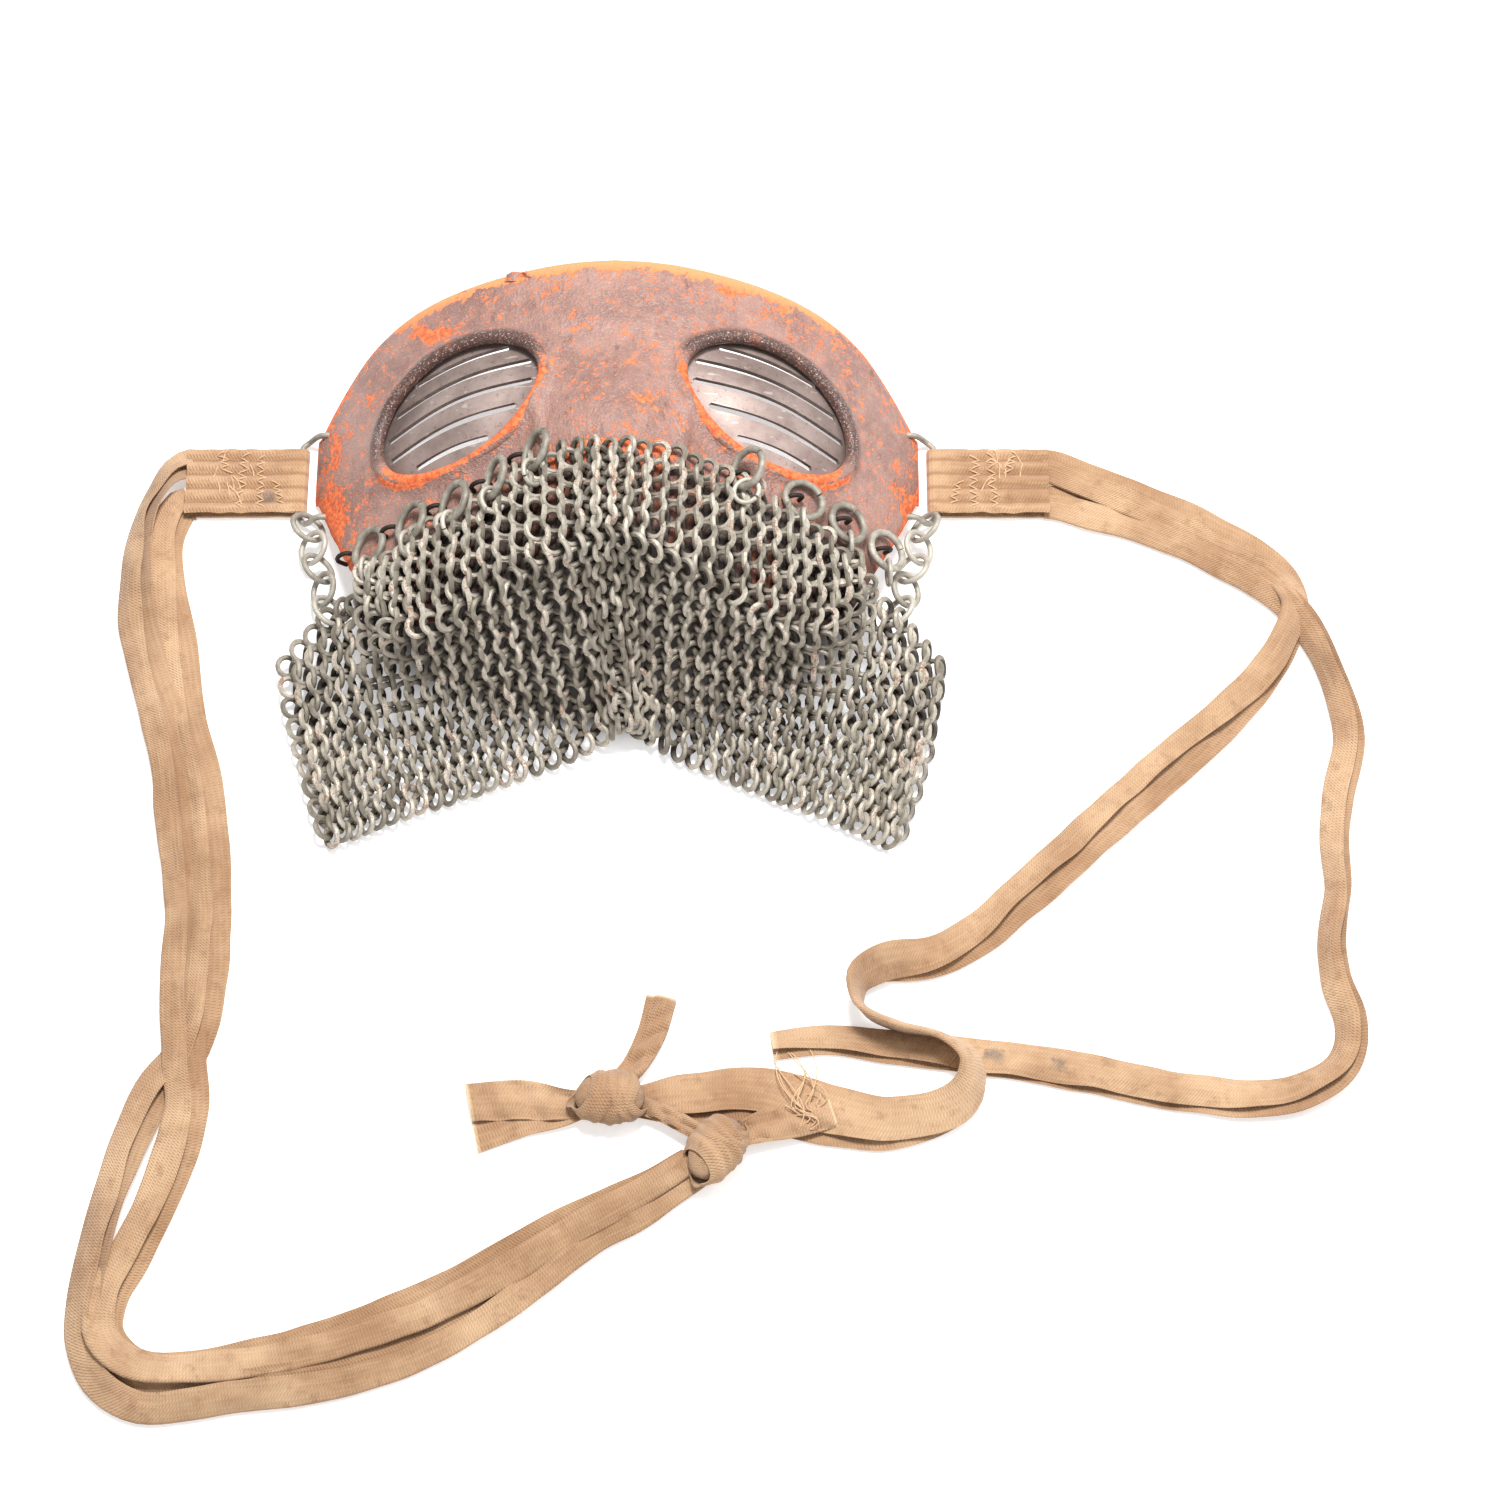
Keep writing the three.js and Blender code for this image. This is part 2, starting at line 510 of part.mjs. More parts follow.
// A side chain: rings from the lower arm of the strap loop to the shoulder of the mail, each as
// large as the run needs, turned one way and then the other, and fused where they bear.
function chainLinks(side) {
  const [corner, over] = loopPoints(side).slice(-4, -2);
  const arm = corner.lerp(over, CHAIN_ARM_SHARE);
  const hold = mailPoint(side * CHAIN_HOLD_COLUMN, CHAIN_HOLD_ROW);
  const run = Math.hypot(hold.x - arm.x, hold.y - arm.y);
  const ends = 2 * (CHAIN_WIRE / 2 + LOOP_WIRE / 2 + LINK_CLEARANCE);
  const bearing = CHAIN_WIRE - CHAIN_BITE;
  const radius = (run + ends + (CHAIN_LINKS - 1) * bearing) / (2 * CHAIN_LINKS);
  const pitch = 2 * radius - bearing;
  const twist = radians(CHAIN_TWIST);
  const clear = radius * Math.sin(twist) + CHAIN_WIRE / 2 + PIECE_GAP;
  arm.setZ(Math.max(arm.z, clear));
  hold.setZ(Math.max(hold.z, clear));
  const along = new THREE.Vector3().subVectors(hold, arm).normalize();
  const first = radius - ends / 2;
  return Array.from({ length: CHAIN_LINKS }, (_, k) => {
    const middle = arm.clone().addScaledVector(along, first + k * pitch);
    const turn = side * (k % 2 ? -twist : twist);
    const across = new THREE.Vector3(0, 0, 1).cross(along).normalize().applyAxisAngle(along, turn);
    const out = new THREE.Vector3().crossVectors(along, across);
    const matrix = new THREE.Matrix4().makeBasis(along, across, out).setPosition(middle);
    return { matrix, radius };
  });
}

function chainSolid(side, wire) {
  return chainLinks(side).map(({ matrix, radius }) =>
    toSolid(new THREE.TorusGeometry(radius, wire / 2, WIRE_SIDES, RING_SIDES), matrix))
    .reduce((whole, link) => whole.add(link));
}

// The stitched end of the tapes: a flat band folded round the bar of the strap loop.
function tapeBand(side, grow = 0) {
  const eye = LOOP_WIRE / 2 + PIECE_GAP;
  const outer = eye + TAPE_WALL;
  const section = new THREE.Shape();
  section.absarc(0, 0, outer, -Math.PI / 2, Math.PI / 2, false);
  section.lineTo(-TAPE_BAND_LENGTH / 3, TAPE_BAND_WALL + grow - outer);
  section.lineTo(-TAPE_BAND_LENGTH - grow, TAPE_BAND_WALL + grow - outer);
  section.lineTo(-TAPE_BAND_LENGTH - grow, -outer);
  section.closePath();
  const hole = new THREE.Path();
  hole.absarc(0, 0, eye, 0, 2 * Math.PI, true);
  section.holes.push(hole);
  const band = new THREE.ExtrudeGeometry(section, { depth: TAPE_BAND, curveSegments: 6, bevelEnabled: false });
  band.translate(0, 0, -TAPE_BAND / 2);
  band.rotateX(Math.PI / 2);
  if (side > 0) band.rotateZ(Math.PI);
  band.translate(side * barAcross, 0, Math.max(barHeight, outer));
  return toSolid(band);
}

// A folded tape: a flat strip along its route, thinner at its edges.
function tapeGeometry(route, width) {
  const path = new THREE.CatmullRomCurve3(route.map((point) => new THREE.Vector3(...point)));
  const steps = Math.round(path.getLength() / TAPE_STEP);
  const columns = 3;
  return sheetGeometry(columns, steps, (i, j, side) => {
    const along = path.getTangentAt(j / steps);
    const right = new THREE.Vector3(along.y, -along.x, 0).normalize();
    const wall = i % columns === 0 ? TAPE_WALL * 0.6 : TAPE_WALL;
    return path.getPointAt(j / steps)
      .addScaledVector(right, (i / columns - 0.5) * width)
      .add(new THREE.Vector3(0, 0, (side - 0.5) * wall));
  });
}

function knotGeometry([x, y], turn, grow = 0) {
  const knot = new THREE.SphereGeometry(0.5, 10, 6);
  knot.rotateX(Math.PI / 2);
  knot.scale(KNOT_LONG + 2 * grow, KNOT_WIDE + 2 * grow, KNOT_HIGH + 2 * grow);
  knot.rotateZ(radians(turn));
  knot.translate(x, y, KNOT_HIGH / 2 + PIECE_GAP);
  return knot;
}

const mask = new THREE.Group();
mask.position.y = EAR_LINE_Y;

function add(name, geometry, material, matrix) {
  if (!geometry.attributes.normal) geometry.computeVertexNormals();
  const mesh = new THREE.Mesh(geometry, materials[material]);
  mesh.name = name;
  if (matrix) matrix.decompose(mesh.position, mesh.quaternion, mesh.scale);
  mask.add(mesh);
}

// Plate and cover
const sides = [{ name: 'left', side: -1 }, { name: 'right', side: 1 }];
let steel = toSolid(plateSheet(0, STEEL_WALL, 0));
let leather = toSolid(plateSheet(leatherInner, leatherOuter, LEATHER_OVERHANG));
sides.forEach(({ side }) => {
  SLOTS.forEach((slot) => {
    steel = steel.subtract(slotCutter(side, slot));
  });
});

// The eye openings, each with a rolled leather rim
function eyeRing(side, grow, off) {
  const count = 18;
  return Array.from({ length: count }, (_, k) => {
    const turn = (k / count) * 2 * Math.PI;
    const along = (EYE_LENGTH / 2 + grow) * Math.cos(turn);
    const up = (EYE_WIDTH / 2 + grow) * Math.sin(turn);
    const [x, y] = eyePlace(side, along, up, EYE_TILT);
    return platePoint(x, y, off);
  });
}

function eyeCutter(side) {
  const inner = eyeRing(side, 0, STEEL_WALL / 2);
  const outer = eyeRing(side, 0, leatherOuter + RIM_WIRE);
  const [x, y] = eyePlace(side, 0, 0, EYE_TILT);
  const middles = [platePoint(x, y, -STEEL_WALL), platePoint(x, y, leatherOuter + RIM_WIRE)];
  const points = [...inner, ...outer, ...middles];
  const count = inner.length;
  const index = [];
  for (let k = 0; k < count; k += 1) {
    const next = (k + 1) % count;
    index.push(k, next, count + next, k, count + next, count + k);
    index.push(next, k, 2 * count, count + k, count + next, 2 * count + 1);
  }
  if (side > 0) {
    for (let k = 0; k < index.length; k += 3) {
      [index[k + 1], index[k + 2]] = [index[k + 2], index[k + 1]];
    }
  }
  const geometry = new THREE.BufferGeometry();
  geometry.setAttribute('position', new THREE.Float32BufferAttribute(points.flatMap((p) => p.toArray()), 3));
  geometry.setIndex(index);
  return toSolid(geometry);
}

function eyeRim(side) {
  const middle = leatherInner + (RIM_WIRE + PIECE_GAP) / 2;
  const path = new THREE.CatmullRomCurve3(eyeRing(side, RIM_WIRE * 0.4, middle), true);
  return toSolid(wireGeometry(path, RIM_WIRE, 18, 6));
}

sides.forEach(({ side }) => {
  leather = leather.subtract(eyeCutter(side)).add(eyeRim(side));
});

// Strap loops, their holes in the plate and cover, and the tapes' stitched ends
sides.forEach(({ name, side }) => {
  const hole = toSolid(loopGeometry(side, LOOP_WIRE + 3 * PIECE_GAP));
  steel = steel.subtract(hole);
  leather = leather.subtract(hole);
  add(`strap_loop_${name}`, toGeometry(toSolid(loopGeometry(side, LOOP_WIRE))), 'wire');
  add(`tape_end_${name}`, toGeometry(tapeBand(side)), 'tape');
});
add('steel_plate', toGeometry(steel), 'steel');

// Split rings and staples, and the cover that the staples stand in
let mail = mailSolid();
const rings = [
  ...RINGS_LEFT.map((share, k) => ({ name: `left_${k + 1}`, x: -share * halfChord })),
  ...RINGS_RIGHT.map((share, k) => ({ name: `right_${k + 1}`, x: share * halfChord })),
];
rings.forEach(({ name, x }) => {
  const matrix = ringMatrix(x);
  const clear = new THREE.TorusGeometry(ringRadius, RING_WIRE / 2 + LINK_CLEARANCE, WIRE_SIDES, RING_SIDES);
  mail = mail.subtract(toSolid(clear, matrix));
  const ring = new THREE.TorusGeometry(ringRadius, RING_WIRE / 2, WIRE_SIDES, RING_SIDES);
  add(`ring_${name}`, ring, 'wire', matrix);
  const above = new THREE.Vector3(0, ringRadius, 0).applyMatrix4(matrix);
  const seat = plateFrame(above.x, above.y, 0).setPosition(above);
  add(`staple_${name}`, stapleGeometry(), 'wire', seat);
  leather = leather.subtract(toSolid(stapleGeometry(STAPLE_WIRE + 2 * PIECE_GAP), seat));
});
add('leather_cover', toGeometry(leather), 'leather');

// Side chains
sides.forEach(({ name, side }) => {
  mail = mail.subtract(chainSolid(side, CHAIN_WIRE + 2 * LINK_CLEARANCE));
  add(`side_chain_${name}`, toGeometry(chainSolid(side, CHAIN_WIRE)), 'wire');
});
add('mail_curtain', toGeometry(mail), 'mail');

// Tapes and knots
const knots = [
  { name: 'knot_left', place: KNOT_LEFT_PLACE, turn: KNOT_LEFT_TURN },
  { name: 'knot_right', place: KNOT_RIGHT_PLACE, turn: KNOT_RIGHT_TURN },
];
const tapes = [
  { name: 'tape_left_upper', route: TAPE_LEFT_UPPER, width: TAPE_FOLDED },
  { name: 'tape_left_lower', route: TAPE_LEFT_LOWER, width: TAPE_FOLDED },
  { name: 'tape_right_upper', route: TAPE_RIGHT_UPPER, width: TAPE_FOLDED },
  { name: 'tape_right_lower', route: TAPE_RIGHT_LOWER, width: TAPE_NARROW },
  { name: 'tape_tail_up', route: TAIL_UP, width: TAPE_NARROW },
  { name: 'tape_tail_flared', route: TAIL_FLARED, width: TAPE_FOLDED },
  { name: 'tape_tail_frayed', route: TAIL_FRAYED, width: TAPE_NARROW },
  { name: 'tape_link', route: TAPE_LINK, width: TAPE_NARROW / 2 },
];
tapes.forEach(({ name, route, width }) => {
  let tape = toSolid(tapeGeometry(route, width));
  knots.forEach(({ place, turn }) => {
    tape = tape.subtract(toSolid(knotGeometry(place, turn, PIECE_GAP)));
  });
  sides.forEach(({ side }) => {
    tape = tape.subtract(tapeBand(side, PIECE_GAP));
  });
  add(name, toGeometry(tape), 'tape');
});
knots.forEach(({ name, place, turn }) => {
  add(name, toGeometry(toSolid(knotGeometry(place, turn))), 'tape');
});

export default mask;
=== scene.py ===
"""Splatter mask: worn leather over a slotted steel plate, a curtain of butted mail, and cotton tapes.

Metres. X runs across the face, Y up the face, Z out of it. The mask lies face up on the floor at Z = 0.
"""
import math
import random

import bpy
import numpy as np
from mathutils import Matrix, Vector, noise


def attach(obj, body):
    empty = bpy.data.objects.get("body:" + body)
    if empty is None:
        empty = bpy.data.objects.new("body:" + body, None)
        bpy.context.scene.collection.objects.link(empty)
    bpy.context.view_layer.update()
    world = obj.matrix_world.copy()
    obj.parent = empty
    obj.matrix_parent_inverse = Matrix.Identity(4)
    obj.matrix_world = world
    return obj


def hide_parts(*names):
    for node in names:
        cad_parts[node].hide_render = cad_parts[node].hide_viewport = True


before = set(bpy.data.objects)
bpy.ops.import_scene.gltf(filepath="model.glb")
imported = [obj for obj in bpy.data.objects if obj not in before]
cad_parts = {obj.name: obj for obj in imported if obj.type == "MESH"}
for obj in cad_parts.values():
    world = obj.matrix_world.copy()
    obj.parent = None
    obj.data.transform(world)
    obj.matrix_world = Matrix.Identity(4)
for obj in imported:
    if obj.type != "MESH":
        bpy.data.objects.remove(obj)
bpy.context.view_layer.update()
random.seed(17)

# The plate, as the frame has it
EAR_LINE = 0.0352
PLATE_CHORD = 0.191
PLATE_RISE = 0.050
PLATE_TOP = 0.0545
PLATE_FOOT = 0.065
EDGE_LIFT = 0.0012
FOREHEAD_DROP = 0.0047
CHEEK_DROP = 0.003
NOSE_RISE = 0.012
NOSE_SPREAD = 0.015
NOSE_BRIDGE = 0.027
NOSE_RUN = 0.042
STEEL_WALL = 0.0014
PIECE_GAP = 0.0003
LEATHER_WALL = 0.002
LEATHER_OVERHANG = 0.0015
EYE_ACROSS = 0.0485
EYE_UP = 0.005
EYE_LENGTH = 0.0585
EYE_WIDTH = 0.040
EYE_TILT = math.radians(24)
EYE_BULGE = 0.003
RIM_WIRE = 0.0044
SLOT_WIDTH = 0.0016
SLOT_PITCH = 0.0076
SLOT_RISE = 0.0013
SLOT_TILT = math.radians(11)
SLOT_BOW = 0.0008
SLOT_EDGES_FILED = 0.0004
PLATE_ACROSS = [0.00, 0.17, 0.36, 0.54, 0.66, 0.76, 0.84, 0.93, 1.00]
PLATE_TOPS = [1.000, 0.985, 0.945, 0.892, 0.835, 0.750, 0.640, 0.445, 0.270]
PLATE_FEET = [0.73, 0.77, 0.89, 1.00, 1.00, 0.88, 0.64, 0.36, 0.10]
# Each sight slot: pitches from the middle one, then shift and half length as shares of half the eye
SLOTS = [(2, 0.10, 0.56), (1, 0.04, 0.84), (0, -0.05, 0.90), (-1, -0.16, 0.78), (-2, -0.18, 0.43)]

# The mail, rings, staples, chains and strap loops
MAIL_WALL = 0.0044
MAIL_GAP = 0.0008
MAIL_SHOULDER_COLUMN = 15
MAIL_EDGE_COLUMN = 20
MAIL_LIP_ROW = 9
MAIL_HEM_ROW = 24
MAIL_LEAN = 0.004
MAIL_FALL = 2.4
MAIL_SLANT = 0.003
MAIL_WIRE = 0.00185
MAIL_RING = 0.0084
MAIL_TILT = math.radians(50)
# Columns between links, and the rows of links laid above the lip, and below it
LINK_PITCH = 0.88
LINK_ROWS = (9, 17)
RING_WIRE = 0.0024
RING_OUTER = 0.015
RING_HOOK = 0.005
RING_RISE = 0.0016
RING_SHIFT = 0.004
LINK_WIRE = 0.0015
LINK_OUTER = 0.0095
STAPLE_WIRE = 0.0015
CHAIN_WIRE = 0.0019
CHAIN_LINKS = 5
CHAIN_BITE = 0.0005
CHAIN_TWIST = math.radians(42)
CHAIN_HOLD_COLUMN = 17
CHAIN_HOLD_ROW = 9.3
CHAIN_ARM_SHARE = 0.15
LINK_CLEARANCE = 0.0004
LOOP_WIRE = 0.002
LOOP_SPAN = 0.030
LOOP_REACH = 0.008
LOOP_INSET = 0.0035
LOOP_TUCK = 0.008
# Each split ring: its share of the half chord, and how many degrees it stands up on its left side
RINGS_LEFT = [(0.81, 4), (0.67, 18), (0.53, 26), (0.39, 36), (0.25, 24)]
RINGS_RIGHT = [(0.42, 66), (0.60, 6), (0.74, 2), (0.865, 8)]
FOLD_COLUMNS = [0, 2.2, 4, 8, 12, 15.6, 20]
FOLD_ROWS = [0, 9, 14, 19, 24]
# One line for the mail's top, lip, fall, floor and hem, each with a value for each fold column
FOLD_ACROSS = [
    [0.00, 0.13, 0.24, 0.47, 0.68, 0.86, 1.08],
    [0.00, 0.12, 0.23, 0.47, 0.69, 0.87, 1.10],
    [0.00, 0.09, 0.20, 0.43, 0.66, 0.86, 1.07],
    [0.00, 0.07, 0.18, 0.41, 0.62, 0.82, 1.02],
    [0.00, 0.06, 0.16, 0.39, 0.58, 0.76, 0.94],
]
FOLD_DOWN = [
    [0.37, 0.35, 0.35, 0.46, 0.53, 0.61, 0.96],
    [0.76, 0.79, 0.84, 0.94, 0.95, 0.78, 1.06],
    [1.00, 1.02, 1.09, 1.21, 1.22, 1.12, 1.31],
    [1.21, 1.21, 1.29, 1.42, 1.47, 1.44, 1.59],
    [1.38, 1.39, 1.47, 1.61, 1.72, 1.83, 1.95],
]
FOLD_HIGH = [
    [0.00, 0.00, 0.00, 0.00, 0.00, 0.40, 0.10],
    [0.00, 0.00, 0.00, 0.00, 0.00, 0.26, 0.06],
    [0.90, 0.74, 0.66, 0.48, 0.29, 0.15, 0.03],
    [0.54, 0.30, 0.18, 0.10, 0.04, 0.00, 0.00],
    [0.22, 0.08, 0.05, 0.00, 0.00, 0.00, 0.00],
]

# The tapes
TAPE_CLOTH = 0.00045
TAPE_WALL = 0.0012
TAPE_FLAT = 0.025
TAPE_BAND = 0.023
TAPE_BAND_LENGTH = 0.036
TAPE_BAND_WALL = 0.003
TAPE_FOLDED = 0.013
TAPE_NARROW = 0.011
TAPE_STITCH = 0.0025
KNOT_LONG = 0.022
KNOT_WIDE = 0.017
KNOT_HIGH = 0.012
TAPE_LEFT_UPPER = [
    (-0.1395, 0.007, 0.0014), (-0.143, 0.006, 0.002), (-0.148, 0.0, 0.0026), (-0.153, -0.012, 0.0026),
    (-0.155, -0.028, 0.0026), (-0.153, -0.052, 0.0026), (-0.147, -0.072, 0.0026),
    (-0.14, -0.096, 0.0026), (-0.136, -0.12, 0.0026), (-0.131, -0.148, 0.0026),
    (-0.131, -0.172, 0.0026), (-0.129, -0.196, 0.0026), (-0.127, -0.214, 0.0026),
    (-0.131, -0.234, 0.0026), (-0.139, -0.256, 0.0026), (-0.146, -0.271, 0.0026),
    (-0.147, -0.283, 0.0026), (-0.139, -0.292, 0.0026), (-0.125, -0.294, 0.0026),
    (-0.099, -0.29, 0.0026), (-0.074, -0.283, 0.0026), (-0.043, -0.27, 0.0026),
    (-0.013, -0.252, 0.0028), (0.01, -0.24, 0.0034), (0.025, -0.231, 0.0044),
]
TAPE_LEFT_LOWER = [
    (-0.1395, -0.007, 0.0009), (-0.143, -0.009, 0.0009), (-0.146, -0.02, 0.0009),
    (-0.145, -0.036, 0.0009), (-0.141, -0.055, 0.0009), (-0.136, -0.084, 0.0009),
    (-0.129, -0.11, 0.0009), (-0.125, -0.14, 0.0009), (-0.124, -0.172, 0.0009),
    (-0.128, -0.195, 0.0009), (-0.137, -0.208, 0.0009), (-0.143, -0.223, 0.0009),
    (-0.149, -0.244, 0.0009), (-0.153, -0.268, 0.0009), (-0.153, -0.284, 0.0009),
    (-0.147, -0.297, 0.0009), (-0.134, -0.304, 0.0009), (-0.107, -0.301, 0.0009),
    (-0.082, -0.297, 0.0009), (-0.056, -0.288, 0.0009), (-0.03, -0.273, 0.0009),
    (-0.006, -0.255, 0.0009), (0.012, -0.245, 0.0009), (0.027, -0.234, 0.001),
]
TAPE_RIGHT_UPPER = [
    (0.1395, 0.007, 0.0014), (0.143, 0.0066, 0.002), (0.152, 0.002, 0.0026), (0.165, -0.004, 0.0026),
    (0.184, -0.013, 0.0026), (0.202, -0.024, 0.0026), (0.215, -0.034, 0.0026), (0.219, -0.045, 0.0026),
    (0.214, -0.059, 0.0024), (0.203, -0.075, 0.0012), (0.19, -0.088, 0.0009), (0.172, -0.104, 0.0009),
    (0.157, -0.118, 0.0009), (0.142, -0.132, 0.0009), (0.126, -0.147, 0.0009), (0.112, -0.159, 0.0009),
    (0.099, -0.166, 0.0009), (0.086, -0.168, 0.0009), (0.076, -0.174, 0.0014), (0.077, -0.184, 0.0024),
    (0.088, -0.19, 0.0027), (0.101, -0.193, 0.0027), (0.11, -0.2, 0.0027), (0.109, -0.21, 0.0025),
    (0.098, -0.217, 0.0012), (0.083, -0.219, 0.0009), (0.066, -0.216, 0.0009), (0.047, -0.211, 0.0009),
    (0.028, -0.211, 0.0009), (0.008, -0.212, 0.001),
]
TAPE_RIGHT_LOWER = [
    (0.1395, -0.006, 0.0009), (0.144, -0.0065, 0.0009), (0.154, -0.01, 0.0009), (0.17, -0.015, 0.0009),
    (0.189, -0.024, 0.0009), (0.206, -0.035, 0.0009), (0.218, -0.046, 0.0009), (0.226, -0.062, 0.0009),
    (0.231, -0.078, 0.0009), (0.233, -0.092, 0.0009), (0.229, -0.108, 0.0009), (0.226, -0.126, 0.0009),
    (0.226, -0.142, 0.0009), (0.223, -0.158, 0.0009), (0.223, -0.172, 0.0009), (0.227, -0.187, 0.0009),
    (0.224, -0.2, 0.0009), (0.213, -0.208, 0.0009), (0.198, -0.211, 0.0009), (0.176, -0.209, 0.0009),
    (0.156, -0.205, 0.0009), (0.137, -0.201, 0.0009), (0.118, -0.198, 0.0009), (0.1, -0.196, 0.0009),
    (0.084, -0.194, 0.0009), (0.066, -0.192, 0.0009), (0.05, -0.194, 0.0009),
]
TAIL_UP = [(0.003, -0.207, 0.0045), (0.008, -0.201, 0.0032), (0.013, -0.19, 0.0014), (0.016, -0.178, 0.001)]
TAIL_FLARED = [
    (-0.005, -0.213, 0.002), (-0.014, -0.214, 0.0014), (-0.026, -0.214, 0.001), (-0.041, -0.217, 0.001),
]
TAIL_FRAYED = [
    (0.038, -0.224, 0.0045), (0.048, -0.22, 0.0036), (0.058, -0.217, 0.003), (0.068, -0.214, 0.0028),
]
TAPE_LINK = [(0.028, -0.223, 0.0046), (0.018, -0.217, 0.0039), (0.008, -0.213, 0.0044)]
KNOT_LEFT_PLACE = (0.033, -0.228)
KNOT_LEFT_TURN = math.radians(55)
KNOT_RIGHT_PLACE = (0.001, -0.212)
KNOT_RIGHT_TURN = 0.0
LEG_LEFT_UPPER_LENGTH = 0.50
LEG_LEFT_LOWER_LENGTH = 0.50
LEG_RIGHT_UPPER_LENGTH = 0.47
LEG_RIGHT_LOWER_LENGTH = 0.43

# Sizes that follow
HALF_CHORD = PLATE_CHORD / 2
PLATE_RADIUS = (HALF_CHORD ** 2 + PLATE_RISE ** 2) / (2 * PLATE_RISE)
PLATE_HALF_ANGLE = math.asin(HALF_CHORD / PLATE_RADIUS)
EYE_MIDDLE = PLATE_RADIUS * math.asin(EYE_ACROSS / PLATE_RADIUS)
LEATHER_INNER = STEEL_WALL + PIECE_GAP
LEATHER_OUTER = LEATHER_INNER + LEATHER_WALL
RING_RADIUS = (RING_OUTER - RING_WIRE) / 2
BAR_HEIGHT = TAPE_WALL + PIECE_GAP + LOOP_WIRE / 2
BAR_ACROSS = HALF_CHORD + LOOP_REACH
SIDES = [("left", -1), ("right", 1)]


# Camera, floor and light

FLOOR_GLOW = 0.45
# The paper's painted shadow under the mail: half the width and half the height of the darkened patch
SHADE_WIDE = 0.088
SHADE_HIGH = 0.046
SHADE_MIDDLE = -0.012
SKY_GLOW = 0.42


def add_camera():
    bpy.ops.object.camera_add(location=(0.0433, EAR_LINE - 0.551, 1.0256), rotation=(math.radians(24), 0, 0))
    camera = bpy.context.object
    camera.data.lens = 85
    camera.data.sensor_width = 36
    bpy.context.scene.camera = camera


def add_floor():
    bpy.ops.mesh.primitive_plane_add(size=6, location=(0, SHADE_MIDDLE, -0.0001))
    floor = bpy.context.object
    floor.name = "studio_floor"
    paper = Finish("white light table")
    middle = paper.stretched(paper.place(), (1 / SHADE_WIDE, 1 / SHADE_HIGH, 1), (0, 0, 0))
    reach = paper.node("ShaderNodeVectorMath", {"operation": "LENGTH"}, {0: middle}, "Value")
    # Painted shadow: the paper's colour and glow go dark in a patch under the mask and its mail
    glow = reach.ramp(0.75, 1.0)
    colour = paper.mix(glow, (0.16, 0.15, 0.14, 1), (0.86, 0.86, 0.86, 1))
    shader = paper.node("ShaderNodeBsdfPrincipled", {}, {
        "Base Color": colour, "Roughness": 0.9,
        "Emission Color": paper.mix(glow, (0.02, 0.02, 0.02, 1), (1, 1, 1, 1)),
        "Emission Strength": FLOOR_GLOW,
    })
    paper.surface(shader)
    floor.data.materials.append(paper.material)


def add_light(name, place, aim, size, power):
    bpy.ops.object.light_add(type="AREA", location=place)
    light = bpy.context.object
    light.name = name
    light.data.shape = "DISK"
    light.data.size = size
    light.data.energy = power
    light.rotation_euler = (Vector(aim) - Vector(place)).to_track_quat("-Z", "Y").to_euler()


def add_studio():
    world = bpy.data.worlds.new("soft sky")
    bpy.context.scene.world = world
    world.use_nodes = True
    sky = world.node_tree.nodes["Background"]
    sky.inputs["Color"].default_value = (1, 1, 1, 1)
    sky.inputs["Strength"].default_value = SKY_GLOW
    add_light("key light", (0.10, 0.30, 1.15), (0, 0.02, 0.03), 0.35, 19.0)
    add_light("fill light", (0.75, 0.15, 0.9), (0, 0, 0.02), 0.6, 3.5)
    add_light("front light", (0.1, -0.9, 0.7), (0, -0.05, 0.02), 0.6, 1.2)
    bpy.context.scene.view_settings.view_transform = "Standard"


# Shader maths

def srgb(red, green, blue):
    """A colour read as 0 to 255, made linear for a shader."""
    linear = [c / 12.92 if c <= 0.04045 else ((c + 0.055) / 1.055) ** 2.4
              for c in (red / 255, green / 255, blue / 255)]
    return (*linear, 1)


class Value:
    """A node's output, with the arithmetic that adds Math nodes."""

    def __init__(self, finish, socket):
        self.finish = finish
        self.socket = socket

    def maths(self, operation, first, second):
        return self.finish.node("ShaderNodeMath", {"operation": operation}, {0: first, 1: second})

    def __add__(self, other):
        return self.maths("ADD", self, other)

    def __radd__(self, other):
        return self.maths("ADD", other, self)

    def __sub__(self, other):
        return self.maths("SUBTRACT", self, other)

    def __rsub__(self, other):
        return self.maths("SUBTRACT", other, self)

    def __mul__(self, other):
        return self.maths("MULTIPLY", self, other)

    def __rmul__(self, other):
        return self.maths("MULTIPLY", other, self)

    def most(self, other):
        return self.maths("MAXIMUM", self, other)

    def ramp(self, low, high):
        """0 below low and 1 above high, smooth between."""
        return self.finish.node("ShaderNodeMapRange", {"interpolation_type": "SMOOTHSTEP"},
                                {"Value": self, "From Min": low, "From Max": high})


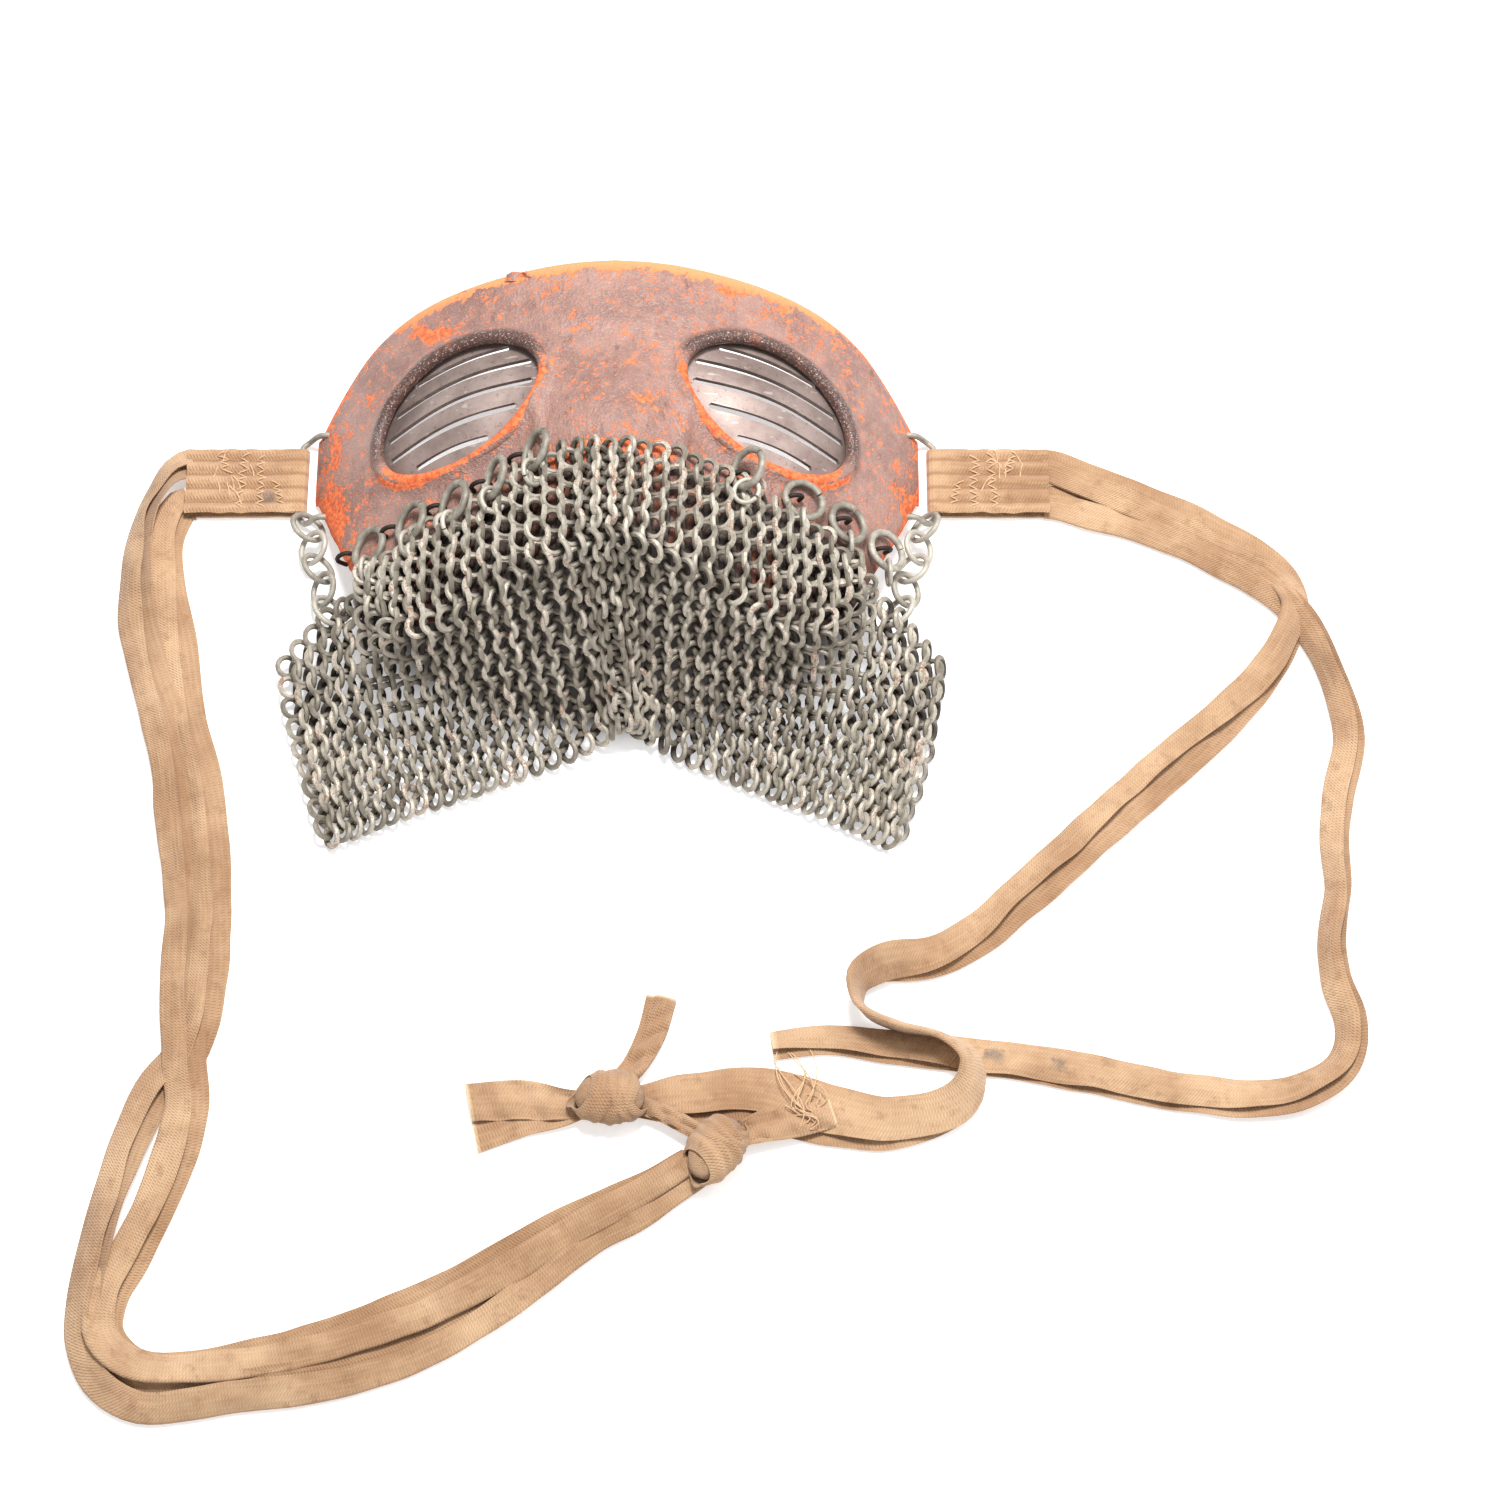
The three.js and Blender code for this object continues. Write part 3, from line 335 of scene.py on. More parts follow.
class Finish:
    """One material and the nodes in it."""

    def __init__(self, name):
        self.material = bpy.data.materials.new(name)
        self.material.use_nodes = True
        self.tree = self.material.node_tree
        self.tree.nodes.clear()

    def node(self, kind, settings, inputs, output=0):
        node = self.tree.nodes.new(kind)
        for setting, value in settings.items():
            setattr(node, setting, value)
        for socket, value in inputs.items():
            if isinstance(value, Value):
                self.tree.links.new(value.socket, node.inputs[socket])
            else:
                node.inputs[socket].default_value = value
        return Value(self, node.outputs[output])

    def place(self):
        return self.node("ShaderNodeTexCoord", {}, {}, "Object")

    def stretched(self, vector, scale, turn=(0, 0, 0)):
        return self.node("ShaderNodeMapping", {}, {"Vector": vector, "Rotation": turn, "Scale": scale})

    def attribute(self, name):
        return self.node("ShaderNodeAttribute", {"attribute_name": name}, {}, "Fac")

    def noise(self, vector, scale, detail=3.0, rough=0.55):
        return self.node("ShaderNodeTexNoise", {}, {
            "Vector": vector, "Scale": scale, "Detail": detail, "Roughness": rough,
        })

    def cells(self, vector, scale):
        return self.node("ShaderNodeTexVoronoi", {}, {"Vector": vector, "Scale": scale})

    def mix(self, share, first, second):
        return self.node("ShaderNodeMix", {"data_type": "RGBA"}, {0: share, 6: first, 7: second}, 2)

    def bump(self, height, distance, strength=1.0):
        return self.node("ShaderNodeBump", {}, {
            "Height": height, "Distance": distance, "Strength": strength,
        })

    def surface(self, shader):
        output = self.tree.nodes.new("ShaderNodeOutputMaterial")
        self.tree.links.new(shader.socket, output.inputs["Surface"])
        return self.material


# The plate's shape, from the middle of the ear line

def smooth_step(value, low=0.0, high=1.0):
    share = np.clip((value - low) / (high - low), 0, 1)
    return share * share * (3 - 2 * share)


def read_table(places, values, at):
    """A smooth curve through values, which may hold a column for each place asked for."""
    places = np.asarray(places, float)
    values = np.asarray(values, float)
    at = np.clip(np.asarray(at, float), places[0], places[-1])
    last = len(places) - 1
    step = np.clip(np.searchsorted(places, at, side="left") - 1, 0, last - 1)

    def pick(row):
        return values[row] if values.ndim == 1 else values[row, np.arange(values.shape[1])]

    before = np.maximum(step - 1, 0)
    after = np.minimum(step + 2, last)
    width = places[step + 1] - places[step]
    share = (at - places[step]) / width
    start = (pick(step + 1) - pick(before)) / (places[step + 1] - places[before]) * width
    end = (pick(after) - pick(step)) / (places[after] - places[step]) * width
    first = pick(step)
    second = pick(step + 1)
    return (first + start * share + (3 * (second - first) - 2 * start - end) * share ** 2
            + (2 * (first - second) + start + end) * share ** 3)


def eye_sides(x, y):
    """Places on the plate as lengths along and across the nearer eye, from its middle."""
    along = PLATE_RADIUS * np.arcsin(np.clip(np.abs(x) / PLATE_RADIUS, 0, 1)) - EYE_MIDDLE
    up = y - EYE_UP
    long = -along * math.cos(EYE_TILT) + up * math.sin(EYE_TILT)
    wide = along * math.sin(EYE_TILT) + up * math.cos(EYE_TILT)
    return long, wide


def eye_reach(x, y):
    long, wide = eye_sides(x, y)
    return np.hypot(long / (EYE_LENGTH / 2), wide / (EYE_WIDTH / 2))


def eye_distance(x, y):
    """How far a place lies outside an eye's edge, less than 0 inside it."""
    long, wide = eye_sides(x, y)
    long = long / (EYE_LENGTH / 2)
    wide = wide / (EYE_WIDTH / 2)
    reach = np.maximum(np.hypot(long, wide), 1e-6)
    slope = np.hypot(long / (EYE_LENGTH / 2), wide / (EYE_WIDTH / 2)) / reach
    return (reach - 1) / np.maximum(slope, 1e-6)


def plate_height(x, y):
    arch = np.sqrt(np.maximum(PLATE_RADIUS ** 2 - x ** 2, 0)) - (PLATE_RADIUS - PLATE_RISE)
    drop = np.where(y > 0, FOREHEAD_DROP * (y / PLATE_TOP) ** 2, CHEEK_DROP * (y / PLATE_FOOT) ** 2)
    nose = NOSE_RISE * np.exp(-((x / NOSE_SPREAD) ** 2) / 2) * smooth_step((NOSE_BRIDGE - y) / NOSE_RUN)
    bulge = EYE_BULGE * np.maximum(1 - eye_reach(x, y) ** 2, 0) ** 2
    return EDGE_LIFT + arch - drop + nose + bulge


def plate_normal(x, y):
    step = 0.0005
    across = (plate_height(x + step, y) - plate_height(x - step, y)) / (2 * step)
    up = (plate_height(x, y + step) - plate_height(x, y - step)) / (2 * step)
    normal = np.stack([-across, -up, np.ones_like(across)], axis=-1)
    return normal / np.linalg.norm(normal, axis=-1, keepdims=True)


def plate_point(x, y, off):
    """A point at a height off the plate's inside, measured square to it."""
    x, y = np.broadcast_arrays(np.asarray(x, float), np.asarray(y, float))
    point = np.stack([x, y, plate_height(x, y)], axis=-1)
    return point + plate_normal(x, y) * np.asarray(off, float)[..., None]


def plate_frame(x, y, off):
    """A matrix whose axes run across, up the face and out of the plate."""
    out = Vector(plate_normal(x, y))
    across = (Vector((1, 0, 0)) - out * out.x).normalized()
    up = out.cross(across)
    matrix = Matrix((across, up, out)).transposed().to_4x4()
    matrix.translation = Vector(plate_point(x, y, off))
    return matrix


def plate_foot(x):
    return -read_table(PLATE_ACROSS, PLATE_FEET, np.abs(x) / HALF_CHORD) * PLATE_FOOT


def plate_top(x):
    return read_table(PLATE_ACROSS, PLATE_TOPS, np.abs(x) / HALF_CHORD) * PLATE_TOP


def plate_sheet(across, up, overhang):
    """Shares across and up the plate, as x and y on it."""
    half_angle = PLATE_HALF_ANGLE + overhang / PLATE_RADIUS
    x = PLATE_RADIUS * np.sin(half_angle * (2 * across - 1))
    foot = plate_foot(x) - overhang
    top = plate_top(x) + overhang
    return x, foot + (top - foot) * up


def eye_place(side, along, up, tilt):
    arc = EYE_MIDDLE - along * math.cos(tilt) + up * math.sin(tilt)
    y = EYE_UP + along * math.sin(tilt) + up * math.cos(tilt)
    return side * PLATE_RADIUS * np.sin(arc / PLATE_RADIUS), y


def ride_height(x, y):
    """The least height of the middle of the mail: on the leather, then off its edge to the floor."""
    edge = plate_foot(x) - LEATHER_OVERHANG
    over = np.maximum(y, edge)
    past = np.maximum(edge - y - MAIL_WALL, 0)
    off = LEATHER_OUTER + MAIL_GAP + MAIL_WALL / 2
    high = plate_height(x, over) + off / plate_normal(x, over)[..., 2] - MAIL_FALL * past
    return np.maximum(high, MAIL_WALL / 2)


def mail_slant(x, row):
    """How much further up the face the mail's top edge lies on the right than on the left."""
    away = smooth_step(np.abs(x) / HALF_CHORD, 0.2, 0.5)
    return np.sign(x) * MAIL_SLANT * away * (1 - smooth_step(row, 0, MAIL_LIP_ROW))


def mail_point(column, row):
    """The middle of the mail at columns from the middle out and rows from the top down."""
    column = np.asarray(column, float)
    row = np.asarray(row, float)
    away = np.abs(column)
    x = np.stack([read_table(FOLD_COLUMNS, line, away) for line in FOLD_ACROSS]) * HALF_CHORD
    slant = np.stack([mail_slant(np.sign(column) * line, at) for line, at in zip(x, FOLD_ROWS)])
    y = slant - np.stack([read_table(FOLD_COLUMNS, line, away) for line in FOLD_DOWN]) * PLATE_FOOT
    high = np.stack([read_table(FOLD_COLUMNS, line, away) for line in FOLD_HIGH]) * PLATE_RISE + MAIL_WALL / 2
    z = np.maximum(high, ride_height(x, y))
    x, y, z = (read_table(FOLD_ROWS, table, row) for table in (x, y, z))
    z = np.maximum(z, ride_height(x, y))
    lean = MAIL_LEAN * smooth_step(row, MAIL_LIP_ROW, MAIL_HEM_ROW)
    lean = lean * (1 - smooth_step(away, 0, MAIL_EDGE_COLUMN))
    return np.stack([np.sign(column) * x + lean, y, z], axis=-1)


def mail_axes(column, row):
    """Unit vectors across the mail, down it and out of it."""
    step = 0.5
    across = mail_point(column + step, row) - mail_point(column - step, row)
    down = mail_point(column, row + step) - mail_point(column, row - step)
    out = np.cross(down, across)
    out /= np.linalg.norm(out, axis=-1, keepdims=True)
    down /= np.linalg.norm(down, axis=-1, keepdims=True)
    return np.cross(out, down), down, out


def mail_edge(x):
    """How far up the face the mail's top edge lies."""
    down = read_table(FOLD_ACROSS[0], FOLD_DOWN[0], np.abs(x) / HALF_CHORD) * PLATE_FOOT
    return mail_slant(x, 0) - down


# Making a piece

def alone(piece):
    bpy.ops.object.select_all(action="DESELECT")
    piece.select_set(True)
    bpy.context.view_layer.objects.active = piece


def points_of(piece):
    flat = np.empty(len(piece.data.vertices) * 3)
    piece.data.vertices.foreach_get("co", flat)
    return flat.reshape(-1, 3)


def put_points(piece, points):
    """Gives a mesh its points, with the ear line where the frame has it."""
    moved = np.asarray(points) + (0, EAR_LINE, 0)
    piece.data.vertices.foreach_set("co", moved.ravel())
    piece.data.update()


def grid_sheet(name, columns, rows, place):
    """A grid whose shares across and up are laid on a surface by place."""
    bpy.ops.mesh.primitive_grid_add(x_subdivisions=columns, y_subdivisions=rows, size=1)
    piece = bpy.context.object
    piece.name = name
    flat = points_of(piece)
    put_points(piece, place(flat[:, 0] + 0.5, flat[:, 1] + 0.5))
    return piece


def modify(piece, kind, **settings):
    modifier = piece.modifiers.new(kind.title(), kind)
    for setting, value in settings.items():
        setattr(modifier, setting, value)
    alone(piece)
    bpy.ops.object.modifier_apply(modifier=modifier.name)


def thicken(piece, wall, offset=-1.0):
    modify(piece, "SOLIDIFY", thickness=wall, offset=offset)


def smooth(piece, degrees=50):
    alone(piece)
    bpy.ops.object.shade_smooth_by_angle(angle=math.radians(degrees))


def join(name, pieces):
    bpy.ops.object.select_all(action="DESELECT")
    for piece in pieces:
        piece.select_set(True)
    bpy.context.view_layer.objects.active = pieces[0]
    bpy.ops.object.join()
    pieces[0].name = name
    return pieces[0]


def mark(piece, name, values):
    """A number at each point, which the finish reads."""
    layer = piece.data.attributes.get(name) or piece.data.attributes.new(name, "FLOAT", "POINT")
    spread = np.broadcast_to(values, len(piece.data.vertices))
    layer.data.foreach_set("value", spread.astype(np.float32).ravel())


def marks(piece, **values):
    for name, value in values.items():
        mark(piece, name, value)


def wire(name, points, width, closed=False, sides=10):
    """Round wire or thread through points, with closed ends."""
    curve = bpy.data.curves.new(name, "CURVE")
    curve.dimensions = "3D"
    curve.bevel_depth = width / 2
    curve.bevel_resolution = max(sides // 4, 0)
    curve.resolution_u = 4
    curve.use_fill_caps = not closed
    spline = curve.splines.new("POLY")
    spline.points.add(len(points) - 1)
    for place, point in zip(spline.points, points):
        place.co = (point[0], point[1] + EAR_LINE, point[2], 1)
    spline.use_cyclic_u = closed
    piece = bpy.data.objects.new(name, curve)
    bpy.context.collection.objects.link(piece)
    alone(piece)
    bpy.ops.object.convert(target="MESH")
    return bpy.context.object


def smooth_line(points, count):
    """Evenly spaced points on one smooth curve through the chosen ones, and each one's share."""
    points = np.asarray(points, float)
    steps = np.linalg.norm(np.diff(points, axis=0), axis=1)
    reach = np.concatenate([[0], np.cumsum(steps)])
    fine = np.linspace(0, reach[-1], 12 * count)
    curve = np.stack([read_table(reach, points[:, k], fine) for k in range(3)], axis=1)
    run = np.concatenate([[0], np.cumsum(np.linalg.norm(np.diff(curve, axis=0), axis=1))])
    even = np.linspace(0, run[-1], count)
    line = np.stack([np.interp(even, run, curve[:, k]) for k in range(3)], axis=1)
    return line, even / run[-1], run[-1]


def ripple(values, scale, seed):
    """Smooth noise along a run, from -1 to 1."""
    return np.array([noise.noise(Vector((value * scale, seed * 7.3, seed))) for value in np.ravel(values)])


def dents(x, y, across, up, seed):
    """Smooth noise over a surface, from -1 to 1, with a scale across it and one up it."""
    return np.array([noise.noise(Vector((a * across, b * up, seed))) for a, b in zip(x, y)])


def dress(piece, finish, slot, *nodes):
    piece.data.materials.clear()
    piece.data.materials.append(finish)
    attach(piece, "root")
    if nodes:
        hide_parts(*nodes)
    return piece


# Leather

NOSE_WELT_ACROSS = 0.0222
NOSE_WELT_WIDE = 0.0022
NOSE_WELT_HIGH = 0.0016
RIM_MIDDLE = LEATHER_INNER + (RIM_WIRE + PIECE_GAP) / 2
RIM_OUT = RIM_WIRE * 0.4
RIM_CREST = RIM_MIDDLE + RIM_WIRE / 2 - LEATHER_OUTER
COVER_GRID = (230, 150)
# The torn flap at the top edge: its place on the face, length, height and wall
FLAP_PLACE = (-0.0305, 0.0500)
FLAP_LONG = 0.0085
FLAP_HIGH = 0.0030
FLAP_WALL = 0.0008
# Worn patches: middle across and up the face, then half width and half height
WORN_PATCHES = [
    (-0.060, 0.038, 0.007, 0.006), (0.010, -0.003, 0.005, 0.004), (0.002, 0.006, 0.004, 0.003),
    (-0.076, 0.018, 0.006, 0.006), (-0.088, -0.018, 0.010, 0.012), (0.003, -0.020, 0.018, 0.004),
    (-0.052, 0.034, 0.012, 0.004), (0.052, 0.040, 0.018, 0.004), (0.066, 0.034, 0.008, 0.004),
    (0.014, 0.018, 0.003, 0.002), (-0.012, 0.034, 0.004, 0.002), (0.090, -0.008, 0.006, 0.008),
    (-0.020, 0.044, 0.005, 0.003), (0.047, 0.048, 0.014, 0.003), (0.016, -0.028, 0.020, 0.010),
    (-0.012, -0.026, 0.016, 0.008), (0.0, -0.004, 0.010, 0.003), (-0.088, 0.006, 0.005, 0.010),
    (-0.094, -0.026, 0.006, 0.012), (0.004, 0.012, 0.010, 0.002), (0.034, 0.046, 0.004, 0.002),
    (-0.006, 0.004, 0.003, 0.006), (0.072, 0.022, 0.003, 0.006), (-0.040, 0.044, 0.006, 0.002),
]


def edge_distance(x, y, overhang):
    """How far inside the cover's outline a place is, near enough for wear and a rolled edge."""
    across = (PLATE_RADIUS * (PLATE_HALF_ANGLE - np.arcsin(np.clip(np.abs(x) / PLATE_RADIUS, 0, 1)))
              + overhang)
    slope = 0.0005
    top_tilt = (plate_top(x + slope) - plate_top(x - slope)) / (2 * slope)
    foot_tilt = (plate_foot(x + slope) - plate_foot(x - slope)) / (2 * slope)
    below_top = (plate_top(x) + overhang - y) / np.hypot(1, top_tilt)
    above_foot = (y - plate_foot(x) + overhang) / np.hypot(1, foot_tilt)
    return np.minimum(across, np.minimum(below_top, above_foot)), below_top


def leather_relief(x, y):
    eye = eye_distance(x, y)
    swell = RIM_CREST * np.exp(-((eye - RIM_OUT) / 0.0027) ** 2) * smooth_step(eye, 0.0006, 0.0032)
    sunk = -0.0016 * (1 - smooth_step(eye, 0.0006, 0.0026))
    from_welt = np.abs(x) - NOSE_WELT_ACROSS - 0.10 * (y - 0.005)
    welt = NOSE_WELT_HIGH * np.exp(-(from_welt / NOSE_WELT_WIDE) ** 2)
    welt = welt * smooth_step(0.024 - y, 0, 0.022)
    hollow = 0.0010 * np.exp(-((np.abs(x) - 0.0295) / 0.005) ** 2) * smooth_step(-0.002 - y, 0, 0.012)
    edge, _ = edge_distance(x, y, LEATHER_OVERHANG)
    roll = 0.0011 * (1 - np.clip(edge / 0.0024, 0, 1)) ** 2
    rough = (dents(x, y, 90, 90, 2.0) + 0.4 * dents(x, y, 300, 240, 5.0)) * 0.00035
    return swell + sunk + welt - hollow - roll + rough * smooth_step(edge, 0, 0.004)


def rim_wear(eye, long, wide):
    """The bare band along an eye's lower edge, widest at its outer corner."""
    lower = smooth_step(-wide, -0.003, 0.007)
    outer = smooth_step(-long, 0.006, 0.027)
    reach = 0.0012 + 0.0030 * outer * lower
    line = 0.34 * outer * (1 - smooth_step(eye, 0.0004, 0.0014))
    return np.maximum(0.62 * lower * (1 - smooth_step(eye, reach, reach + 0.0014)), line)


def leather_wear(x, y):
    """How far the brown is rubbed through to the orange, from 0 to 1."""
    eye = eye_distance(x, y)
    edge, below_top = edge_distance(x, y, LEATHER_OVERHANG)
    wear = 0.17 + rim_wear(eye, *eye_sides(x, y))
    wear = wear + 0.50 * np.exp(-(edge / 0.0018) ** 2)
    wear = wear + 0.24 * np.exp(-(below_top / 0.006) ** 2)
    wear = wear + 0.16 * smooth_step(np.abs(x), 0.082, 0.096)
    wear = wear + 0.18 * np.exp(-((x + 0.090) / 0.014) ** 2) * smooth_step(-y, 0.002, 0.020)
    for across, up, half_wide, half_high in WORN_PATCHES:
        wear = wear + 0.33 * np.exp(-((x - across) / half_wide) ** 2 - ((y - up) / half_high) ** 2)
    return np.clip(wear, 0, 1)


def brow_roll(eye, wide):
    """The darker roll over the brow side of an eye, on which the finish also paints glints."""
    return smooth_step(wide, -0.004, 0.008) * np.exp(-((eye - RIM_OUT) / 0.0028) ** 4)


def eye_rim(side):
    """The rolled lip round an eye opening, over the edge of the leather."""
    turn = np.linspace(0, 2 * math.pi, 110, endpoint=False)
    along = (EYE_LENGTH / 2 + RIM_OUT) * np.cos(turn)
    x, y = eye_place(side, along, (EYE_WIDTH / 2 + RIM_OUT) * np.sin(turn), EYE_TILT)
    rough = 0.00025 * ripple(turn, 3.0, 4 + side)
    line = plate_point(x, y, RIM_MIDDLE + rough)
    rim = wire("eye_rim", line, RIM_WIRE, closed=True, sides=16)
    points = points_of(rim) - (0, EAR_LINE, 0)
    long, wide = eye_sides(points[:, 0], points[:, 1])
    wear = 0.15 + rim_wear(eye_distance(points[:, 0], points[:, 1]), long, wide)
    marks(rim, wear=np.clip(wear, 0, 1), top_edge=0.0, brow=smooth_step(wide, -0.004, 0.006), under_mail=0.0)
    return rim


def torn_edge(x, y):
    """The cover's outline pulled in and out a little, and more where the left ear is torn."""
    torn = np.exp(-((x + 0.084) / 0.010) ** 2) * smooth_step(-y, 0.014, 0.026)
    frays = dents(x, y, 700, 700, 9.0)
    return 0.0002 * frays + torn * (0.0011 * frays + 0.0004)


def leather_cover(finish):
    def place(across, up):
        x, y = plate_sheet(across, up, LEATHER_OVERHANG)
        outline = np.maximum(smooth_step(up, 0.975, 1.0), smooth_step(1 - up, 0.965, 1.0))
        y = y + torn_edge(x, y) * outline * np.where(up > 0.5, 1, -1)
        return plate_point(x, y, LEATHER_OUTER + leather_relief(x, y))

    cover = grid_sheet("cover", *COVER_GRID, place)
    points = points_of(cover) - (0, EAR_LINE, 0)
    x, y = plate_sheet(*grid_shares(*COVER_GRID), LEATHER_OVERHANG)
    _, below_top = edge_distance(x, y, LEATHER_OVERHANG)
    top_edge = (1 - smooth_step(below_top, 0.0016, 0.0080)) * smooth_step(points[:, 2], 0.02, 0.035)
    brow = brow_roll(eye_distance(x, y), eye_sides(x, y)[1])
    # Painted shade: the leather goes dark under the mail, below its top edge.
    under_mail = smooth_step(mail_edge(x) - y, 0.0005, 0.0060)
    marks(cover, wear=leather_wear(x, y), top_edge=top_edge, brow=brow, under_mail=under_mail)
    open_eyes(cover, x, y)
    thicken(cover, LEATHER_WALL)
    flap = torn_flap()
    cover = join("leather_cover_worn", [cover, eye_rim(-1), eye_rim(1), flap])
    smooth(cover, 60)
    return dress(cover, finish, "leather", "leather_cover")


def grid_shares(columns, rows):
    across, up = np.meshgrid(np.linspace(0, 1, columns + 1), np.linspace(0, 1, rows + 1))
    return across.ravel(), up.ravel()


def open_eyes(cover, x, y):
    """Deletes the cover's faces over the eyes: what is left ends under the rims."""
    inside = eye_distance(x, y) < 0.0010
    bpy.ops.object.mode_set(mode="EDIT")
    bpy.ops.mesh.select_mode(type="VERT")
    bpy.ops.mesh.select_all(action="DESELECT")
    bpy.ops.object.mode_set(mode="OBJECT")
    cover.data.vertices.foreach_set("select", inside)
    bpy.ops.object.mode_set(mode="EDIT")
    bpy.ops.mesh.delete(type="VERT")
    bpy.ops.object.mode_set(mode="OBJECT")


def torn_flap():
    """A small lifted tongue of leather at the top edge."""
    def place(across, up):
        x = FLAP_PLACE[0] + FLAP_LONG * (across - 0.5) * (1 - 0.35 * up)
        y = FLAP_PLACE[1] + FLAP_HIGH * (up - 0.3) * (1 - 0.7 * (2 * across - 1) ** 2)
        lift = 0.0014 * up ** 1.5 + 0.0005 * np.sin(7 * across)
        return plate_point(x, y, LEATHER_OUTER + 0.0001 + lift)

    flap = grid_sheet("flap", 14, 8, place)
    thicken(flap, FLAP_WALL)
    marks(flap, wear=0.42, top_edge=0.2, brow=0.0, under_mail=0.0)
    return flap


def leather_finish():
    leather = Finish("mauve brown leather, rubbed to orange")
    here = leather.place()
    wear = leather.attribute("wear")
    top_edge = leather.attribute("top_edge")
    brow = leather.attribute("brow")
    under_mail = leather.attribute("under_mail")
    broad = leather.noise(here, 38, 4, 0.6)
    mottle = leather.noise(here, 210, 4, 0.62)
    fleck = leather.noise(here, 620, 3, 0.7)
    grain = leather.noise(leather.stretched(here, (1, 1.6, 1)), 1500, 2, 0.6)
    pebble = leather.cells(here, 900)
    creases = leather.noise(leather.stretched(here, (1.0, 0.28, 1.0), (0, 0, 0.5)), 330, 4, 0.7)

    brown = leather.mix(broad.ramp(0.35, 0.68), srgb(134, 99, 90), srgb(160, 123, 112))
    brown = leather.mix(mottle.ramp(0.42, 0.75) * 0.55, brown, srgb(184, 148, 135))
    brown = leather.mix(creases.ramp(0.56, 0.70) * 0.55, brown, srgb(100, 70, 63))
    brown = leather.mix(grain.ramp(0.55, 0.70) * 0.5, brown, srgb(196, 164, 150))
    # The brow roll is darker brown.
    brown = leather.mix(brow * 0.92, brown, srgb(76, 52, 45))
    orange = leather.mix(fleck.ramp(0.35, 0.65), srgb(206, 84, 38), srgb(238, 128, 76))
    orange = leather.mix(top_edge, orange, srgb(226, 146, 96))

    rubbed = wear * 1.05 + (mottle - 0.5) * 0.85 + (fleck - 0.5) * 0.85 + (broad - 0.5) * 0.5
    rubbed = rubbed.ramp(0.50, 0.60)
    dust = (fleck * 0.55 + mottle * 0.45 + wear * 0.14).ramp(0.574, 0.624) * 0.85
    tan_band = (top_edge + (mottle - 0.5) * 1.5 + (fleck - 0.5) * 0.9 + (broad - 0.5) * 1.0).ramp(0.50, 0.62)
    bare = rubbed.most(dust * (1 - brow * 0.8)).most(tan_band)
    colour = leather.mix(bare, brown, orange)
    # Painted shade under the mail: near-black brown, with patches of rust colour.
    painted_shade_and_rust = leather.mix(broad.ramp(0.50, 0.62), srgb(58, 47, 40), srgb(124, 62, 38))
    # Painted highlight: pale glints on the brow roll where the grain stands high.
    colour = leather.mix(brow * grain.ramp(0.60, 0.68) * 0.7, colour, srgb(226, 206, 196))
    colour = leather.mix(under_mail * 0.92, colour, painted_shade_and_rust)
    roughness = 0.46 + bare * 0.26 + (grain - 0.5) * 0.16 - brow * 0.14
    height = grain * 0.6 + pebble * 0.45 + creases * 1.2 + mottle * 0.8 - bare * 0.5
    normal = leather.bump(height, 0.00045, 0.9)
    return leather.surface(leather.node("ShaderNodeBsdfPrincipled", {}, {
        "Base Color": colour, "Roughness": roughness, "Normal": normal,
        "Specular IOR Level": 0.55, "Coat Roughness": 0.35,
    }))


# Steel

def steel_finish():
    steel = Finish("dull brown grey steel")
    here = steel.place()
    cloud = steel.noise(here, 55, 4, 0.6)
    brushed = steel.noise(steel.stretched(here, (0.25, 1.0, 1.0), (0, 0, 0.35)), 900, 3, 0.6)
    pits = steel.noise(here, 700, 3, 0.7)
    scratch = steel.noise(steel.stretched(here, (0.12, 1.4, 1.0), (0, 0, 1.1)), 420, 2, 0.5)
    colour = steel.mix(cloud.ramp(0.3, 0.7), srgb(140, 122, 116), srgb(178, 160, 153))
    colour = steel.mix(pits.ramp(0.58, 0.70) * 0.55, colour, srgb(98, 78, 68))
    colour = steel.mix(scratch.ramp(0.66, 0.70) * 0.5, colour, srgb(214, 206, 198))
    rust = (cloud * 0.6 + pits * 0.5).ramp(0.66, 0.74)
    colour = steel.mix(rust * 0.4, colour, srgb(140, 86, 60))
    roughness = 0.50 + (brushed - 0.5) * 0.22 + rust * 0.3
    normal = steel.bump(brushed * 0.6 + pits * 0.5, 0.00012, 0.6)
    return steel.surface(steel.node("ShaderNodeBsdfPrincipled", {}, {
        "Base Color": colour, "Metallic": 0.60 - rust * 0.4, "Roughness": roughness, "Normal": normal,
    }))


def slot_cutter(side, row, shift, half):
    """One sight slot: a bowed strip with round ends, square to the plate."""
    reach = half * EYE_LENGTH / 2 + SLOT_WIDTH / 2
    middle = shift * EYE_LENGTH / 2

    def place(across, up):
        share = 2 * across - 1
        along = middle + share * reach
        from_end = np.maximum(reach - np.abs(share * reach), 0)
        rounded = np.clip(1 - (1 - np.clip(from_end / (SLOT_WIDTH / 2), 0, 1)) ** 2, 0.02, 1)
        width = (SLOT_WIDTH + SLOT_EDGES_FILED) * np.sqrt(rounded)
        bow = SLOT_BOW * (1 - share ** 2)
        high = row * SLOT_PITCH + SLOT_RISE + bow + (up - 0.5) * width * -side
        x, y = eye_place(side, along, high, SLOT_TILT)
        return plate_point(x, y, 3 * STEEL_WALL)

    cutter = grid_sheet("slot", 60, 1, place)
    thicken(cutter, 6 * STEEL_WALL)
    return cutter


